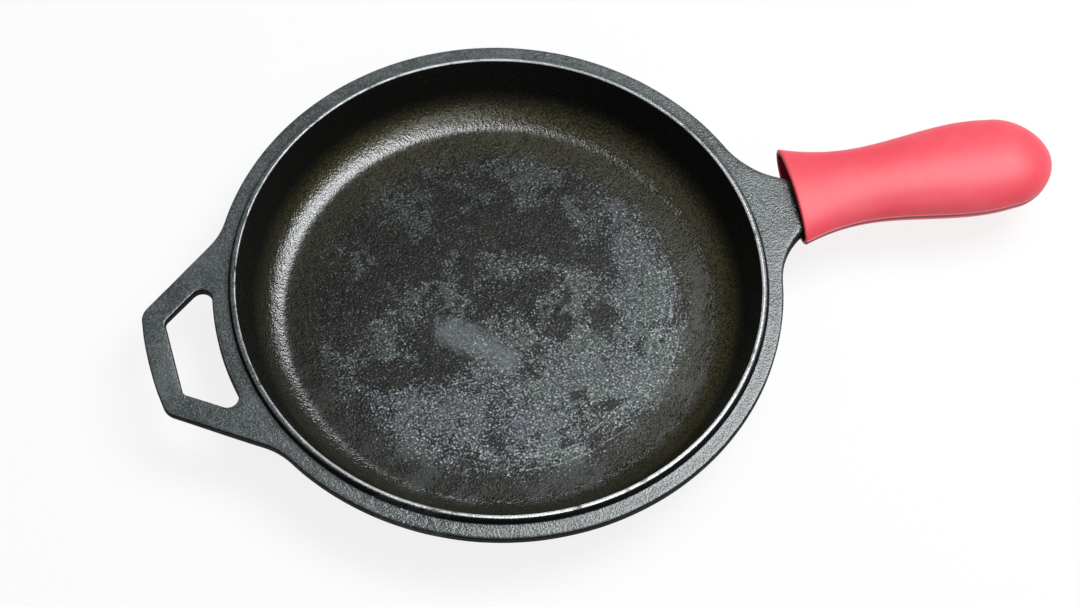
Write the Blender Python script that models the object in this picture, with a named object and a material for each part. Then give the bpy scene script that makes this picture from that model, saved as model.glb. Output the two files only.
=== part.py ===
"""Cast iron pancake skillet with a slip-on silicone handle sleeve.

Two real pieces: one iron casting (bowl, flat rim flange with its locating lip, helper
loop, neck and grip with a hang eye) and one silicone sleeve pushed over the grip.
Metres, +Z up, +X along the grip, origin at the centre of the flat base.
"""
import math

import bmesh
import bpy
from mathutils import Matrix, Vector
from mathutils.geometry import delaunay_2d_cdt

MM = 0.001

# Heights, measured up from the flat base
FLANGE_TOP = 34.5 * MM
FLANGE_THICK = 5.6 * MM
LIP_RISE = 2.65 * MM
FLOOR_THICK = 4.5 * MM

# Bowl section, stepping in from the edge of the flange
FLANGE_RADIUS = 140.0 * MM
FLANGE_LAND = 7.4 * MM
LIP_DRAFT = 1.1 * MM
LIP_WIDTH = 2.4 * MM
LIP_ROUNDING = 0.9 * MM
WALL_LEAN = math.radians(21.5)
WALL_THICK = 4.2 * MM
INNER_CORNER_RADIUS = 18.0 * MM
OUTER_CORNER_RADIUS = 10.0 * MM
WEB_REACH = 4.2 * MM
WEB_DROP = 5.0 * MM
LIP_FOOT_RADIUS = FLANGE_RADIUS - FLANGE_LAND
LIP_CREST_RADIUS = LIP_FOOT_RADIUS - LIP_DRAFT
BOWL_MOUTH_RADIUS = LIP_CREST_RADIUS - LIP_WIDTH

# Rim plate: flange, helper loop, neck and grip share one plan outline
EDGE_ROUNDING = 1.3 * MM
HELPER_REACH = 34.8 * MM
HELPER_HALF_WIDTH = 28.0 * MM
HELPER_TIP_CROWN = 2.1 * MM
HELPER_SIDE_ANGLE = math.radians(35.5)
HELPER_BAR = 12.4 * MM
HELPER_TIP_THICK = 4.4 * MM
HELPER_CORNER_RADIUS = 9.0 * MM
HELPER_BLEND_RADIUS = 36.0 * MM
FINGER_HOLE_STEP = 0.6 * MM
FINGER_HOLE_CORNER_RADIUS = 3.0 * MM
FINGER_HOLE_BLEND_RADIUS = 5.0 * MM
HELPER_TIP_X = -(FLANGE_RADIUS + HELPER_REACH)
FINGER_HOLE_TIP_X = HELPER_TIP_X + HELPER_BAR

# Sleeve length and place: its mouth stands off from the flange, a little askew on the grip
SLEEVE_STANDOFF = 16.0 * MM
SLEEVE_SEAT_CLEARANCE = 0.55 * MM
SLEEVE_TAIL_SHIFT = 7.9 * MM
SLEEVE_LIFT = 0.7 * MM
SLEEVE_LENGTH = 139.2 * MM
SLEEVE_TAIL_LENGTH = 27.4 * MM
SLEEVE_WALL = 2.3 * MM
SLEEVE_TAIL_WALL = 3.0 * MM
SLEEVE_RIM_ROUNDING = 0.7 * MM
SLEEVE_MOUTH_X = FLANGE_RADIUS + SLEEVE_STANDOFF

# Neck and grip: the grip ends a clearance short of the closed end of the sleeve
NECK_BLEND_RADIUS = 43.0 * MM
NECK_HALF_WIDTH = 12.0 * MM
NECK_THICKEN_INSET = 14.0 * MM
NECK_THICKEN_RUN = 34.0 * MM
GRIP_HALF_WIDTH = 14.4 * MM
GRIP_THICK = 8.8 * MM
GRIP_EDGE_ROUNDING = 3.0 * MM
GRIP_END_CLEARANCE = 7.1 * MM
GRIP_NOSE_CLEARANCE = 5.4 * MM
GRIP_WIDEST_SETBACK = 24.0 * MM
EYE_SETBACK = 23.0 * MM
EYE_LENGTH = 20.0 * MM
EYE_WIDE_RADIUS = 6.2 * MM
EYE_NARROW_RADIUS = 3.6 * MM
THICKEN_FROM_X = FLANGE_RADIUS - NECK_THICKEN_INSET
THICKEN_TO_X = THICKEN_FROM_X + NECK_THICKEN_RUN
GRIP_END_X = SLEEVE_MOUTH_X + SLEEVE_LENGTH - SLEEVE_TAIL_WALL - GRIP_END_CLEARANCE
GRIP_NOSE_LENGTH = SLEEVE_TAIL_LENGTH - SLEEVE_TAIL_WALL - GRIP_NOSE_CLEARANCE
GRIP_WIDEST_X = GRIP_END_X - GRIP_WIDEST_SETBACK
EYE_WIDE_X = GRIP_END_X - EYE_SETBACK
EYE_NARROW_X = EYE_WIDE_X - EYE_LENGTH

# Sleeve section: room between the iron and the inside, beside it and above it.
# The waist has to pass over the widest part of the grip.
SLEEVE_MOUTH_SIDE_ROOM = 10.25 * MM
SLEEVE_WAIST_SIDE_ROOM = 5.0 * MM
SLEEVE_BULGE_SIDE_ROOM = 10.6 * MM
SLEEVE_MOUTH_TOP_ROOM = 3.6 * MM
SLEEVE_BULGE_TOP_ROOM = 7.65 * MM
SLEEVE_TAIL_NARROWING = 1.2 * MM
SLEEVE_WAIST_AT = 37.0 * MM
SLEEVE_BULGE_SETBACK = 42.2 * MM
SLEEVE_BULGE_AT = SLEEVE_LENGTH - SLEEVE_BULGE_SETBACK
FLARE_POWER = 2.0
TAIL_POWER = 1.82

# Facet counts
REVOLVE_STEPS = 120
ROUND_STEPS = 3
SLEEVE_SIDES = 44
SLEEVE_BODY_RINGS = 16
SLEEVE_TAIL_RINGS = 7
OUTLINE_PITCH = 6.5 * MM
NECK_PITCH = 5.0 * MM


def smooth(t):
    t = min(max(t, 0.0), 1.0)
    return t * t * (3.0 - 2.0 * t)


def clear_scene():
    for leftover in list(bpy.data.objects):
        bpy.data.objects.remove(leftover, do_unlink=True)


def material(name, colour, roughness, metallic):
    made = bpy.data.materials.new(name)
    made.use_nodes = True
    shader = made.node_tree.nodes["Principled BSDF"]
    shader.inputs["Base Color"].default_value = (*colour, 1.0)
    shader.inputs["Roughness"].default_value = roughness
    shader.inputs["Metallic"].default_value = metallic
    return made


def arc(centre, radius, start, end, steps):
    """Points of an arc, both ends included."""
    turn = (end - start) / steps
    angles = [start + turn * k for k in range(steps + 1)]
    return [Vector((centre.x + radius * math.cos(a), centre.y + radius * math.sin(a))) for a in angles]


def corner_arc(before, corner, after, radius, steps=4):
    """The fillet arc that replaces the corner between two straight runs."""
    back = (before - corner).normalized()
    ahead = (after - corner).normalized()
    half = back.angle(ahead) / 2.0
    reach = radius / math.tan(half)
    centre = corner + (back + ahead).normalized() * (radius / math.sin(half))
    first = corner + back * reach - centre
    last = corner + ahead * reach - centre
    start = math.atan2(first.y, first.x)
    sweep = math.atan2(last.y, last.x) - start
    sweep = (sweep + math.pi) % (2.0 * math.pi) - math.pi
    return arc(centre, radius, start, start + sweep, steps)


def rim_to_line_blend(rim_radius, point, direction, radius, away, steps):
    """Arc outside a rim circle and beside a line, touching both.

    `away` is the line's unit normal towards the arc's centre. Runs from rim to line.
    """
    base = point + away * radius
    reach = rim_radius + radius
    along = base.dot(direction)
    root = math.sqrt(along * along - base.dot(base) + reach * reach)
    options = [base + direction * (-along + sign * root) for sign in (1.0, -1.0)]
    centre = min(options, key=lambda spot: (spot - point).length)
    first = -centre.normalized()
    last = -away
    start = math.atan2(first.y, first.x)
    sweep = math.atan2(last.y, last.x) - start
    sweep = (sweep + math.pi) % (2.0 * math.pi) - math.pi
    return arc(centre, radius, start, start + sweep, steps)


def flange_run(start, end):
    """Flange circle points between two angles, both ends left out."""
    steps = max(2, round(abs(end - start) / (2.0 * math.pi / REVOLVE_STEPS)))
    return arc(Vector((0.0, 0.0)), FLANGE_RADIUS, start, end, steps)[1:-1]


def mirrored(points):
    return [Vector((p.x, -p.y)) for p in reversed(points)]


def neck_blend():
    """Arc from the flange to the neck's straight side."""
    side = Vector((GRIP_END_X, NECK_HALF_WIDTH))
    return rim_to_line_blend(
        FLANGE_RADIUS, side, Vector((1.0, 0.0)), NECK_BLEND_RADIUS, Vector((0.0, 1.0)), 10)


def neck_flare_at(x):
    """How far the neck's blend stands out past its straight side."""
    before_end = max(neck_blend()[-1].x - x, 0.0)
    return NECK_BLEND_RADIUS - math.sqrt(NECK_BLEND_RADIUS ** 2 - min(before_end, NECK_BLEND_RADIUS) ** 2)


def grip_half_width(x, neck_x):
    share = smooth((x - neck_x) / (GRIP_WIDEST_X - neck_x))
    return NECK_HALF_WIDTH + (GRIP_HALF_WIDTH - NECK_HALF_WIDTH) * share


def helper_tip(share):
    """Point of the helper loop's crowned tip, at a share of its half width."""
    return Vector((HELPER_TIP_X + HELPER_TIP_CROWN * share * share, HELPER_HALF_WIDTH * share))


def plate_outline():
    """Plan outline of flange, neck, grip and helper loop, counter-clockwise."""
    neck = neck_blend()
    neck_x = neck[-1].x
    nose_x = GRIP_END_X - GRIP_NOSE_LENGTH
    steps = math.ceil((nose_x - neck_x) / OUTLINE_PITCH)
    side = []
    for k in range(1, steps):
        x = neck_x + (nose_x - neck_x) * k / steps
        side.append(Vector((x, grip_half_width(x, neck_x))))
    nose_width = grip_half_width(nose_x, neck_x)
    nose = []
    for k in range(9):
        a = math.pi / 2.0 * k / 8
        nose.append(Vector((nose_x + GRIP_NOSE_LENGTH * math.sin(a), nose_width * math.cos(a))))

    # Upper half of the helper loop, from the flange to the tip
    slope = Vector((-math.cos(HELPER_SIDE_ANGLE), -math.sin(HELPER_SIDE_ANGLE)))
    away = Vector((-math.sin(HELPER_SIDE_ANGLE), math.cos(HELPER_SIDE_ANGLE)))
    sharp = helper_tip(1.0)
    blend = rim_to_line_blend(FLANGE_RADIUS, sharp, slope, HELPER_BLEND_RADIUS, away, 6)
    tip = helper_tip(0.0)
    shoulder = helper_tip(0.45)
    corner = corner_arc(blend[-1], sharp, shoulder, HELPER_CORNER_RADIUS, 5)
    helper = blend + [(blend[-1] + corner[0]) / 2.0] + corner + [shoulder]

    neck_start = math.atan2(neck[0].y, neck[0].x)
    helper_start = math.atan2(blend[0].y, blend[0].x)
    upper = list(reversed(neck + side + nose[:-1]))
    upper += flange_run(neck_start, helper_start) + helper
    return upper + [tip] + mirrored(upper) + [Vector((GRIP_END_X, 0.0))]


def finger_hole_outline():
    """Hole of the helper loop, clockwise so that the iron lies on the same hand.

    Its sides and its tip lie one bar width inside the loop's outline.
    """
    slope = Vector((math.cos(HELPER_SIDE_ANGLE), math.sin(HELPER_SIDE_ANGLE)))
    into_hole = Vector((math.sin(HELPER_SIDE_ANGLE), -math.cos(HELPER_SIDE_ANGLE)))
    setback = FINGER_HOLE_TIP_X - helper_tip(1.0).x
    drop = (HELPER_BAR - setback * slope.y) / slope.x
    corner = Vector((FINGER_HOLE_TIP_X, HELPER_HALF_WIDTH - drop))
    inner_radius = FLANGE_RADIUS + FINGER_HOLE_STEP
    blend = rim_to_line_blend(inner_radius, corner, slope, FINGER_HOLE_BLEND_RADIUS, into_hole, 7)
    inner_start = math.atan2(blend[0].y, blend[0].x)
    inner = arc(Vector((0.0, 0.0)), inner_radius, math.pi, inner_start, 4)
    outer = corner_arc(blend[-1], corner, Vector((FINGER_HOLE_TIP_X, 0.0)), FINGER_HOLE_CORNER_RADIUS)
    half = inner[1:-1] + blend + [(blend[-1] + outer[0]) / 2.0] + outer
    loop = [inner[0]] + half + [Vector((FINGER_HOLE_TIP_X, 0.0))] + mirrored(half)
    return list(reversed(loop)) if signed_area(loop) > 0.0 else loop


def hang_eye_outline():
    """Teardrop eye in the grip, clockwise."""
    span = EYE_WIDE_X - EYE_NARROW_X
    lean = math.acos((EYE_WIDE_RADIUS - EYE_NARROW_RADIUS) / span)
    wide = arc(Vector((EYE_WIDE_X, 0.0)), EYE_WIDE_RADIUS, math.pi - lean, lean - math.pi, 12)
    narrow = arc(Vector((EYE_NARROW_X, 0.0)), EYE_NARROW_RADIUS, math.pi + lean, math.pi - lean, 8)
    return wide + narrow


def signed_area(loop):
    return sum(a.x * b.y - b.x * a.y for a, b in zip(loop, loop[1:] + loop[:1])) / 2.0


def grip_share(x):
    return smooth((x - THICKEN_FROM_X) / NECK_THICKEN_RUN)


def plate_thickness(x):
    if x < 0.0:
        share = smooth((-x - FLANGE_RADIUS) / (-HELPER_TIP_X - FLANGE_RADIUS))
        return FLANGE_THICK + (HELPER_TIP_THICK - FLANGE_THICK) * share
    return FLANGE_THICK + (GRIP_THICK - FLANGE_THICK) * grip_share(x)


def plate_rounding(x):
    return EDGE_ROUNDING + (GRIP_EDGE_ROUNDING - EDGE_ROUNDING) * grip_share(x)


def inward_normals(loop):
    """Unit normals pointing into the iron, at the left of the running direction."""
    normals = []
    count = len(loop)
    for k in range(count):
        before = (loop[k] - loop[k - 1]).normalized()
        after = (loop[(k + 1) % count] - loop[k]).normalized()
        run = (before + after).normalized()
        stretch = 1.0 / max(run.dot(after), 0.5)
        normals.append(Vector((-run.y, run.x)) * stretch)
    return normals


def edge_rings(mesh, loop, rounded):
    """Rings of the plate's side along one loop, from the top face round to the bottom face."""
    normals = inward_normals(loop)
    levels = []
    if rounded:
        angles = [math.pi / 2.0 * k / ROUND_STEPS for k in range(ROUND_STEPS + 1)]
        levels += [(1.0, 1.0 - math.cos(a), 1.0 - math.sin(a)) for a in angles]
        levels += [(-1.0, 1.0 - math.cos(a), 1.0 - math.sin(a)) for a in reversed(angles)]
    else:
        levels += [(1.0, 0.0, 0.0), (-1.0, 0.0, 0.0)]
    rings = []
    for side, drop, inset in levels:
        ring = []
        for point, normal in zip(loop, normals):
            size = plate_rounding(point.x) if rounded else 0.0
            spot = point + normal * size * inset
            top = FLANGE_TOP - size * drop
            bottom = FLANGE_TOP - plate_thickness(point.x) + size * drop
            ring.append(mesh.verts.new((spot.x, spot.y, top if side > 0.0 else bottom)))
        rings.append(ring)
    return rings


def join_rings(mesh, first, second):
    count = len(first)
    for k in range(count):
        after = (k + 1) % count
        mesh.faces.new((first[k], first[after], second[after], second[k]))


def inside(point, loop):
    hit = False
    for a, b in zip(loop, loop[1:] + loop[:1]):
        if (a.y > point.y) != (b.y > point.y):
            if point.x < a.x + (b.x - a.x) * (point.y - a.y) / (b.y - a.y):
                hit = not hit
    return hit


def cap(mesh, rings, extra, height, upward):
    """Triangulated face between an outer ring and the hole rings."""
    verts = [v for ring in rings for v in ring]
    flat = [Vector((v.co.x, v.co.y)) for v in verts]
    loops = []
    edges = []
    for ring in rings:
        base = sum(len(loop) for loop in loops)
        loops.append(flat[base:base + len(ring)])
        edges += [(base + k, base + (k + 1) % len(ring)) for k in range(len(ring))]
    for spot in extra:
        verts.append(mesh.verts.new((spot.x, spot.y, height(spot.x))))
        flat.append(spot)
    found = delaunay_2d_cdt(flat, edges, [], 0, 1e-9)
    for triangle in found[2]:
        corners = [found[0][k] for k in triangle]
        middle = sum(corners, Vector((0.0, 0.0))) / 3.0
        if sum(inside(middle, loop) for loop in loops) != 1:
            continue
        picked = [verts[found[3][k][0]] for k in triangle]
        turn = (corners[1] - corners[0]).cross(corners[2] - corners[0])
        if (turn > 0.0) != upward:
            picked.reverse()
        mesh.faces.new(picked)


def finish_mesh(mesh, name, origin, surface):
    bmesh.ops.recalc_face_normals(mesh, faces=mesh.faces)
    data = bpy.data.meshes.new(name)
    mesh.to_mesh(data)
    mesh.free()
    data.transform(Matrix.Translation(-origin))
    made = bpy.data.objects.new(name, data)
    made.location = origin
    bpy.context.collection.objects.link(made)
    data.materials.append(surface)
    return made


def build_rim_plate():
    """Flange, helper loop, neck and grip: one plan outline with rounded edges."""
    mesh = bmesh.new()
    # The bore's edge lies inside the bowl's wall, where the two solids are joined
    bore_radius = BOWL_MOUTH_RADIUS + WALL_THICK / 3.0
    bore = arc(Vector((0.0, 0.0)), bore_radius, 0.0, -2.0 * math.pi, REVOLVE_STEPS)[:-1]
    outer = edge_rings(mesh, plate_outline(), True)
    holes = [edge_rings(mesh, finger_hole_outline(), True), edge_rings(mesh, hang_eye_outline(), True)]
    holes.append(edge_rings(mesh, bore, False))
    for rings in [outer] + holes:
        for first, second in zip(rings, rings[1:]):
            join_rings(mesh, first, second)

    # Extra points under the neck, where the underside slopes down to the thicker grip
    outline = plate_outline()
    extra = []
    columns = math.ceil(NECK_THICKEN_RUN / NECK_PITCH)
    for column in range(columns + 1):
        x = THICKEN_FROM_X + column * NECK_PITCH
        for row in range(-5, 6):
            spot = Vector((x, row * NECK_PITCH))
            margin = NECK_PITCH
            around = [spot + Vector((dx, dy)) for dx in (-margin, margin) for dy in (-margin, margin)]
            clear_of_bore = spot.length > FLANGE_RADIUS - margin
            if clear_of_bore and all(inside(near, outline) for near in around):
                extra.append(spot)
    cap(mesh, [outer[0]] + [rings[0] for rings in holes], [], lambda x: FLANGE_TOP, True)
    cap(mesh, [outer[-1]] + [rings[-1] for rings in holes], extra,
        lambda x: FLANGE_TOP - plate_thickness(x), False)
    return mesh


def bowl_profile():
    """Radius and height pairs of the bowl, from the floor's centre round to the base's centre."""
    lean = math.tan(WALL_LEAN)
    floor = FLOOR_THICK
    crest = FLANGE_TOP + LIP_RISE
    corner_height = floor + INNER_CORNER_RADIUS
    wall_run = (crest - corner_height) * lean + INNER_CORNER_RADIUS / math.cos(WALL_LEAN)
    corner_centre = Vector((BOWL_MOUTH_RADIUS - wall_run, corner_height))
    inner_corner = arc(corner_centre, INNER_CORNER_RADIUS, -math.pi / 2.0, -WALL_LEAN, 7)
    mouth = Vector((BOWL_MOUTH_RADIUS, crest))
    crest_edge = Vector((LIP_CREST_RADIUS, crest))
    foot = Vector((LIP_FOOT_RADIUS, FLANGE_TOP))
    lip = corner_arc(inner_corner[-1], mouth, crest_edge, LIP_ROUNDING, 3)
    lip += corner_arc(mouth, crest_edge, foot, LIP_ROUNDING, 3)

    # Under the flange the wall swells into the rim plate
    buried = FLANGE_TOP - FLANGE_THICK * 0.5
    normal = Vector((math.cos(WALL_LEAN), -math.sin(WALL_LEAN)))
    wall_point = inner_corner[-1] + normal * WALL_THICK

    def outer_radius(height):
        return wall_point.x + (height - wall_point.y) * lean

    under = FLANGE_TOP - FLANGE_THICK
    web = []
    for k in range(4):
        t = k / 3.0
        height = under + FLANGE_THICK * 0.2 - (WEB_DROP + FLANGE_THICK * 0.2) * t
        web.append(Vector((outer_radius(height) + WEB_REACH * (1.0 - t) ** 2, height)))
    base_corner = Vector((outer_radius(0.0), 0.0))
    base = corner_arc(web[-1], base_corner, Vector((0.0, 0.0)), OUTER_CORNER_RADIUS, 5)
    points = [Vector((0.0, floor))] + inner_corner + lip
    points += [Vector((LIP_FOOT_RADIUS, FLANGE_TOP - FLANGE_THICK * 0.3))]
    points += [Vector((web[0].x, buried))] + web + base + [Vector((0.0, 0.0))]
    return points


def build_bowl():
    """The bowl as a solid of revolution about Z."""
    mesh = bmesh.new()
    profile = bowl_profile()
    rings = []
    for k in range(REVOLVE_STEPS):
        turn = 2.0 * math.pi * k / REVOLVE_STEPS
        rings.append([(p.x * math.cos(turn), p.x * math.sin(turn), p.y) for p in profile[1:-1]])
    top = mesh.verts.new((0.0, 0.0, profile[0].y))
    bottom = mesh.verts.new((0.0, 0.0, profile[-1].y))
    made = [[mesh.verts.new(spot) for spot in ring] for ring in rings]
    for k, ring in enumerate(made):
        ahead = made[(k + 1) % REVOLVE_STEPS]
        for a, b in zip(range(len(ring) - 1), range(1, len(ring))):
            mesh.faces.new((ring[a], ring[b], ahead[b], ahead[a]))
        mesh.faces.new((top, ring[0], ahead[0]))
        mesh.faces.new((bottom, ahead[-1], ring[-1]))
    return mesh


def build_casting():
    iron = material("seasoned_iron", (0.035, 0.036, 0.038), 0.55, 0.35)
    origin = Vector((0.0, 0.0, 0.0))
    casting = finish_mesh(build_bowl(), "skillet_casting", origin, iron)
    plate = finish_mesh(build_rim_plate(), "rim_plate", origin, iron)
    union = casting.modifiers.new("rim plate", 'BOOLEAN')
    union.operation = 'UNION'
    union.solver = 'EXACT'
    union.object = plate
    depsgraph = bpy.context.evaluated_depsgraph_get()
    joined = bpy.data.meshes.new_from_object(casting.evaluated_get(depsgraph))
    casting.modifiers.clear()
    casting.data = joined
    bpy.data.objects.remove(plate, do_unlink=True)
    finish_shading(casting, 32.0)
    return casting


def finish_shading(made, angle):
    for face in made.data.polygons:
        face.use_smooth = True
    made.data.set_sharp_from_angle(angle=math.radians(angle))


def sleeve_half_width(s):
    """Outer half width: flared mouth, waist, bulge, and a slight fall towards the tail."""
    mouth = NECK_HALF_WIDTH + neck_flare_at(SLEEVE_MOUTH_X) + SLEEVE_MOUTH_SIDE_ROOM + SLEEVE_WALL
    waist = GRIP_HALF_WIDTH + SLEEVE_WAIST_SIDE_ROOM + SLEEVE_WALL
    bulge = GRIP_HALF_WIDTH + SLEEVE_BULGE_SIDE_ROOM + SLEEVE_WALL
    if s < SLEEVE_WAIST_AT:
        flare = (1.0 - s / SLEEVE_WAIST_AT) ** FLARE_POWER
        return waist + (mouth - waist) * flare
    if s < SLEEVE_BULGE_AT:
        return waist + (bulge - waist) * smooth((s - SLEEVE_WAIST_AT) / (SLEEVE_BULGE_AT - SLEEVE_WAIST_AT))
    body = SLEEVE_LENGTH - SLEEVE_TAIL_LENGTH
    share = min((s - SLEEVE_BULGE_AT) / (body - SLEEVE_BULGE_AT), 1.0) ** 2
    return bulge - SLEEVE_TAIL_NARROWING * share


def sleeve_half_height(s):
    mouth = GRIP_THICK / 2.0 + SLEEVE_MOUTH_TOP_ROOM + SLEEVE_WALL
    bulge = GRIP_THICK / 2.0 + SLEEVE_BULGE_TOP_ROOM + SLEEVE_WALL
    return mouth + (bulge - mouth) * smooth(s / SLEEVE_BULGE_AT)


def sleeve_mouth_shift(centre_height):
    """Sideways shift that brings the mouth's inside to its clearance from the neck's lower edge."""
    wide = sleeve_half_width(0.0) - SLEEVE_WALL - SLEEVE_SEAT_CLEARANCE
    high = sleeve_half_height(0.0) - SLEEVE_WALL - SLEEVE_SEAT_CLEARANCE
    neck = NECK_HALF_WIDTH + neck_flare_at(SLEEVE_MOUTH_X)
    rounding = plate_rounding(SLEEVE_MOUTH_X)
    below = centre_height - (FLANGE_TOP - plate_thickness(SLEEVE_MOUTH_X))
    shifts = []
    for k in range(ROUND_STEPS + 1):
        a = math.pi / 2.0 * k / ROUND_STEPS
        side = neck - rounding * (1.0 - math.cos(a))
        depth = below - rounding * (1.0 - math.sin(a))
        shifts.append(wide * math.sqrt(1.0 - (depth / high) ** 2) - side)
    return min(shifts)


def sleeve_sections(wall, tail_wall):
    """Station, half width and half height of each ring, mouth to tail, tip point left out."""
    body = SLEEVE_LENGTH - SLEEVE_TAIL_LENGTH
    tail = SLEEVE_TAIL_LENGTH - tail_wall
    start = SLEEVE_RIM_ROUNDING
    sections = []
    for k in range(SLEEVE_BODY_RINGS + 1):
        s = start + (body - start) * k / SLEEVE_BODY_RINGS
        sections.append((s, sleeve_half_width(s) - wall, sleeve_half_height(s) - wall))
    wide = sleeve_half_width(body) - wall
    high = sleeve_half_height(body) - wall
    for k in range(1, SLEEVE_TAIL_RINGS):
        t = math.sin(math.pi / 2.0 * k / SLEEVE_TAIL_RINGS)
        narrowing = (1.0 - t ** TAIL_POWER) ** (1.0 / TAIL_POWER)
        sections.append((body + tail * t, wide * narrowing, high * narrowing))
    return sections, body + tail


def build_sleeve():
    silicone = material("red_silicone", (0.76, 0.035, 0.045), 0.42, 0.0)
    mesh = bmesh.new()

    def ring(section):
        s, wide, high = section
        turns = [2.0 * math.pi * k / SLEEVE_SIDES for k in range(SLEEVE_SIDES)]
        return [mesh.verts.new((s, wide * math.cos(a), high * math.sin(a))) for a in turns]

    outer, outer_tip = sleeve_sections(0.0, 0.0)
    inner, inner_tip = sleeve_sections(SLEEVE_WALL, SLEEVE_TAIL_WALL)
    rim_outer = (0.0, outer[0][1] - SLEEVE_RIM_ROUNDING, outer[0][2] - SLEEVE_RIM_ROUNDING)
    rim_inner = (0.0, inner[0][1] + SLEEVE_RIM_ROUNDING, inner[0][2] + SLEEVE_RIM_ROUNDING)
    order = list(reversed(inner)) + [rim_inner, rim_outer] + outer
    rings = [ring(section) for section in order]
    for first, second in zip(rings, rings[1:]):
        join_rings(mesh, first, second)
    for tip, end in ((inner_tip, rings[0]), (outer_tip, rings[-1])):
        point = mesh.verts.new((tip, 0.0, 0.0))
        for k in range(SLEEVE_SIDES):
            mesh.faces.new((end[k], end[(k + 1) % SLEEVE_SIDES], point))
    centre_height = FLANGE_TOP - GRIP_THICK / 2.0 + SLEEVE_LIFT
    shift = sleeve_mouth_shift(centre_height)
    mouth = Vector((SLEEVE_MOUTH_X, shift, centre_height))
    yaw = -math.asin((shift + SLEEVE_TAIL_SHIFT) / SLEEVE_LENGTH)
    placed = Matrix.Translation(mouth) @ Matrix.Rotation(yaw, 4, 'Z')
    bmesh.ops.transform(mesh, matrix=placed, verts=mesh.verts)
    sleeve = finish_mesh(mesh, "handle_sleeve", mouth, silicone)
    finish_shading(sleeve, 50.0)
    return sleeve


def main():
    clear_scene()
    build_casting()
    build_sleeve()


main()
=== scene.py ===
# %% [markdown]
# # A cast iron skillet with a silicone handle sleeve
#
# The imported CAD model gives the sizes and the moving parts. This script dresses it: it builds
# the iron casting and the silicone sleeve again with finer surfaces, gives them their
# finishes, and sets up the table, the lights and the camera.

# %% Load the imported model
import math

import bmesh
import bpy
from mathutils import Euler, Matrix, Vector
from mathutils.geometry import delaunay_2d_cdt


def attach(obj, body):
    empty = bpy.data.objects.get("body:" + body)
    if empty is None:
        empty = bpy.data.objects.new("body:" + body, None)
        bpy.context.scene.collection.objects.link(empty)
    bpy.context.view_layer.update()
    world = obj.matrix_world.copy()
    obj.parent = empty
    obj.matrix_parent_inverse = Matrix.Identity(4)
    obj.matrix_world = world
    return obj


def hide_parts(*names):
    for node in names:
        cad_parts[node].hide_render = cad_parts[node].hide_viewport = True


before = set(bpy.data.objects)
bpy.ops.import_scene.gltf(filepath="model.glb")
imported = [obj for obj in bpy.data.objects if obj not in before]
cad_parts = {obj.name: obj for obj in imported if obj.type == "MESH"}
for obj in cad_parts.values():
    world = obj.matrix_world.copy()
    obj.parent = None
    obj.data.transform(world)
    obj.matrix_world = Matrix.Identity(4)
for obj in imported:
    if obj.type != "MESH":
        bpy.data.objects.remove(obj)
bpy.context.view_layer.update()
MM = 0.001

# %% [markdown]
# ## Working with nodes
#
# Shapes and finishes below are both made with nodes. A small class lets a node's output be
# added, multiplied or ramped like a number, so that a formula stays readable on one line.
# The same Math nodes work in Geometry Nodes and in a material.


# %% A node socket that behaves like a number
def plug(tree, value, slot):
    """Links a field, a socket or a node's first output to a slot, or sets a plain value there."""
    if isinstance(value, Field):
        value = value.socket
    if isinstance(value, bpy.types.Node):
        value = value.outputs[0]
    if isinstance(value, bpy.types.NodeSocket):
        tree.links.new(value, slot)
    else:
        slot.default_value = value


def add_node(tree, kind, inputs=None, **settings):
    """A node with its settings made and its inputs linked or set."""
    made = tree.nodes.new(kind)
    for name, value in settings.items():
        setattr(made, name, value)
    for name, value in (inputs or {}).items():
        plug(tree, value, made.inputs[name])
    return made


class Field:
    """A node's output that can be added, multiplied and ramped."""

    def __init__(self, tree, socket):
        self.tree = tree
        self.socket = socket

    def calc(self, operation, *others):
        """One Math node, fed with this value and the others."""
        made = add_node(self.tree, "ShaderNodeMath", operation=operation)
        for slot, value in zip(made.inputs, (self, *others)):
            plug(self.tree, value, slot)
        return Field(self.tree, made.outputs[0])

    def __add__(self, other):
        return self.calc('ADD', other)

    def __sub__(self, other):
        return self.calc('SUBTRACT', other)

    def __mul__(self, other):
        return self.calc('MULTIPLY', other)

    def __truediv__(self, other):
        return self.calc('DIVIDE', other)

    def flipped(self):
        """One minus the value."""
        return self.calc('MULTIPLY_ADD', -1.0, 1.0)

    def ramp(self, low, high):
        """A smooth step from 0 at low to 1 at high."""
        made = add_node(self.tree, "ShaderNodeMapRange", {
            "Value": self, "From Min": low, "From Max": high}, interpolation_type='SMOOTHSTEP')
        return Field(self.tree, made.outputs["Result"])


def split(tree, vector):
    """The three parts of a vector."""
    made = add_node(tree, "ShaderNodeSeparateXYZ", {"Vector": vector})
    return [Field(tree, made.outputs[axis]) for axis in "XYZ"]


def combine(tree, x, y, z):
    """A vector from its three parts."""
    return add_node(tree, "ShaderNodeCombineXYZ", {"X": x, "Y": y, "Z": z}).outputs[0]


print("node helpers:", [helper.__name__ for helper in (plug, add_node, Field, split, combine)])


# %% A Geometry Nodes tree with named inputs, and how it is run
INPUT_KINDS = {
    int: 'NodeSocketInt', float: 'NodeSocketFloat', bpy.types.Material: 'NodeSocketMaterial'}


def new_shape_tree(name, inputs):
    """A tree with geometry in and out, and its inputs as fields by their names."""
    tree = bpy.data.node_groups.new(name, 'GeometryNodeTree')
    tree.interface.new_socket("Geometry", in_out='INPUT', socket_type='NodeSocketGeometry')
    for label, kind in inputs.items():
        tree.interface.new_socket(label, in_out='INPUT', socket_type=INPUT_KINDS[kind])
    tree.interface.new_socket("Geometry", in_out='OUTPUT', socket_type='NodeSocketGeometry')
    given = tree.nodes.new("NodeGroupInput").outputs
    return tree, {label: Field(tree, given[label]) for label in ("Geometry", *inputs)}


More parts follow.
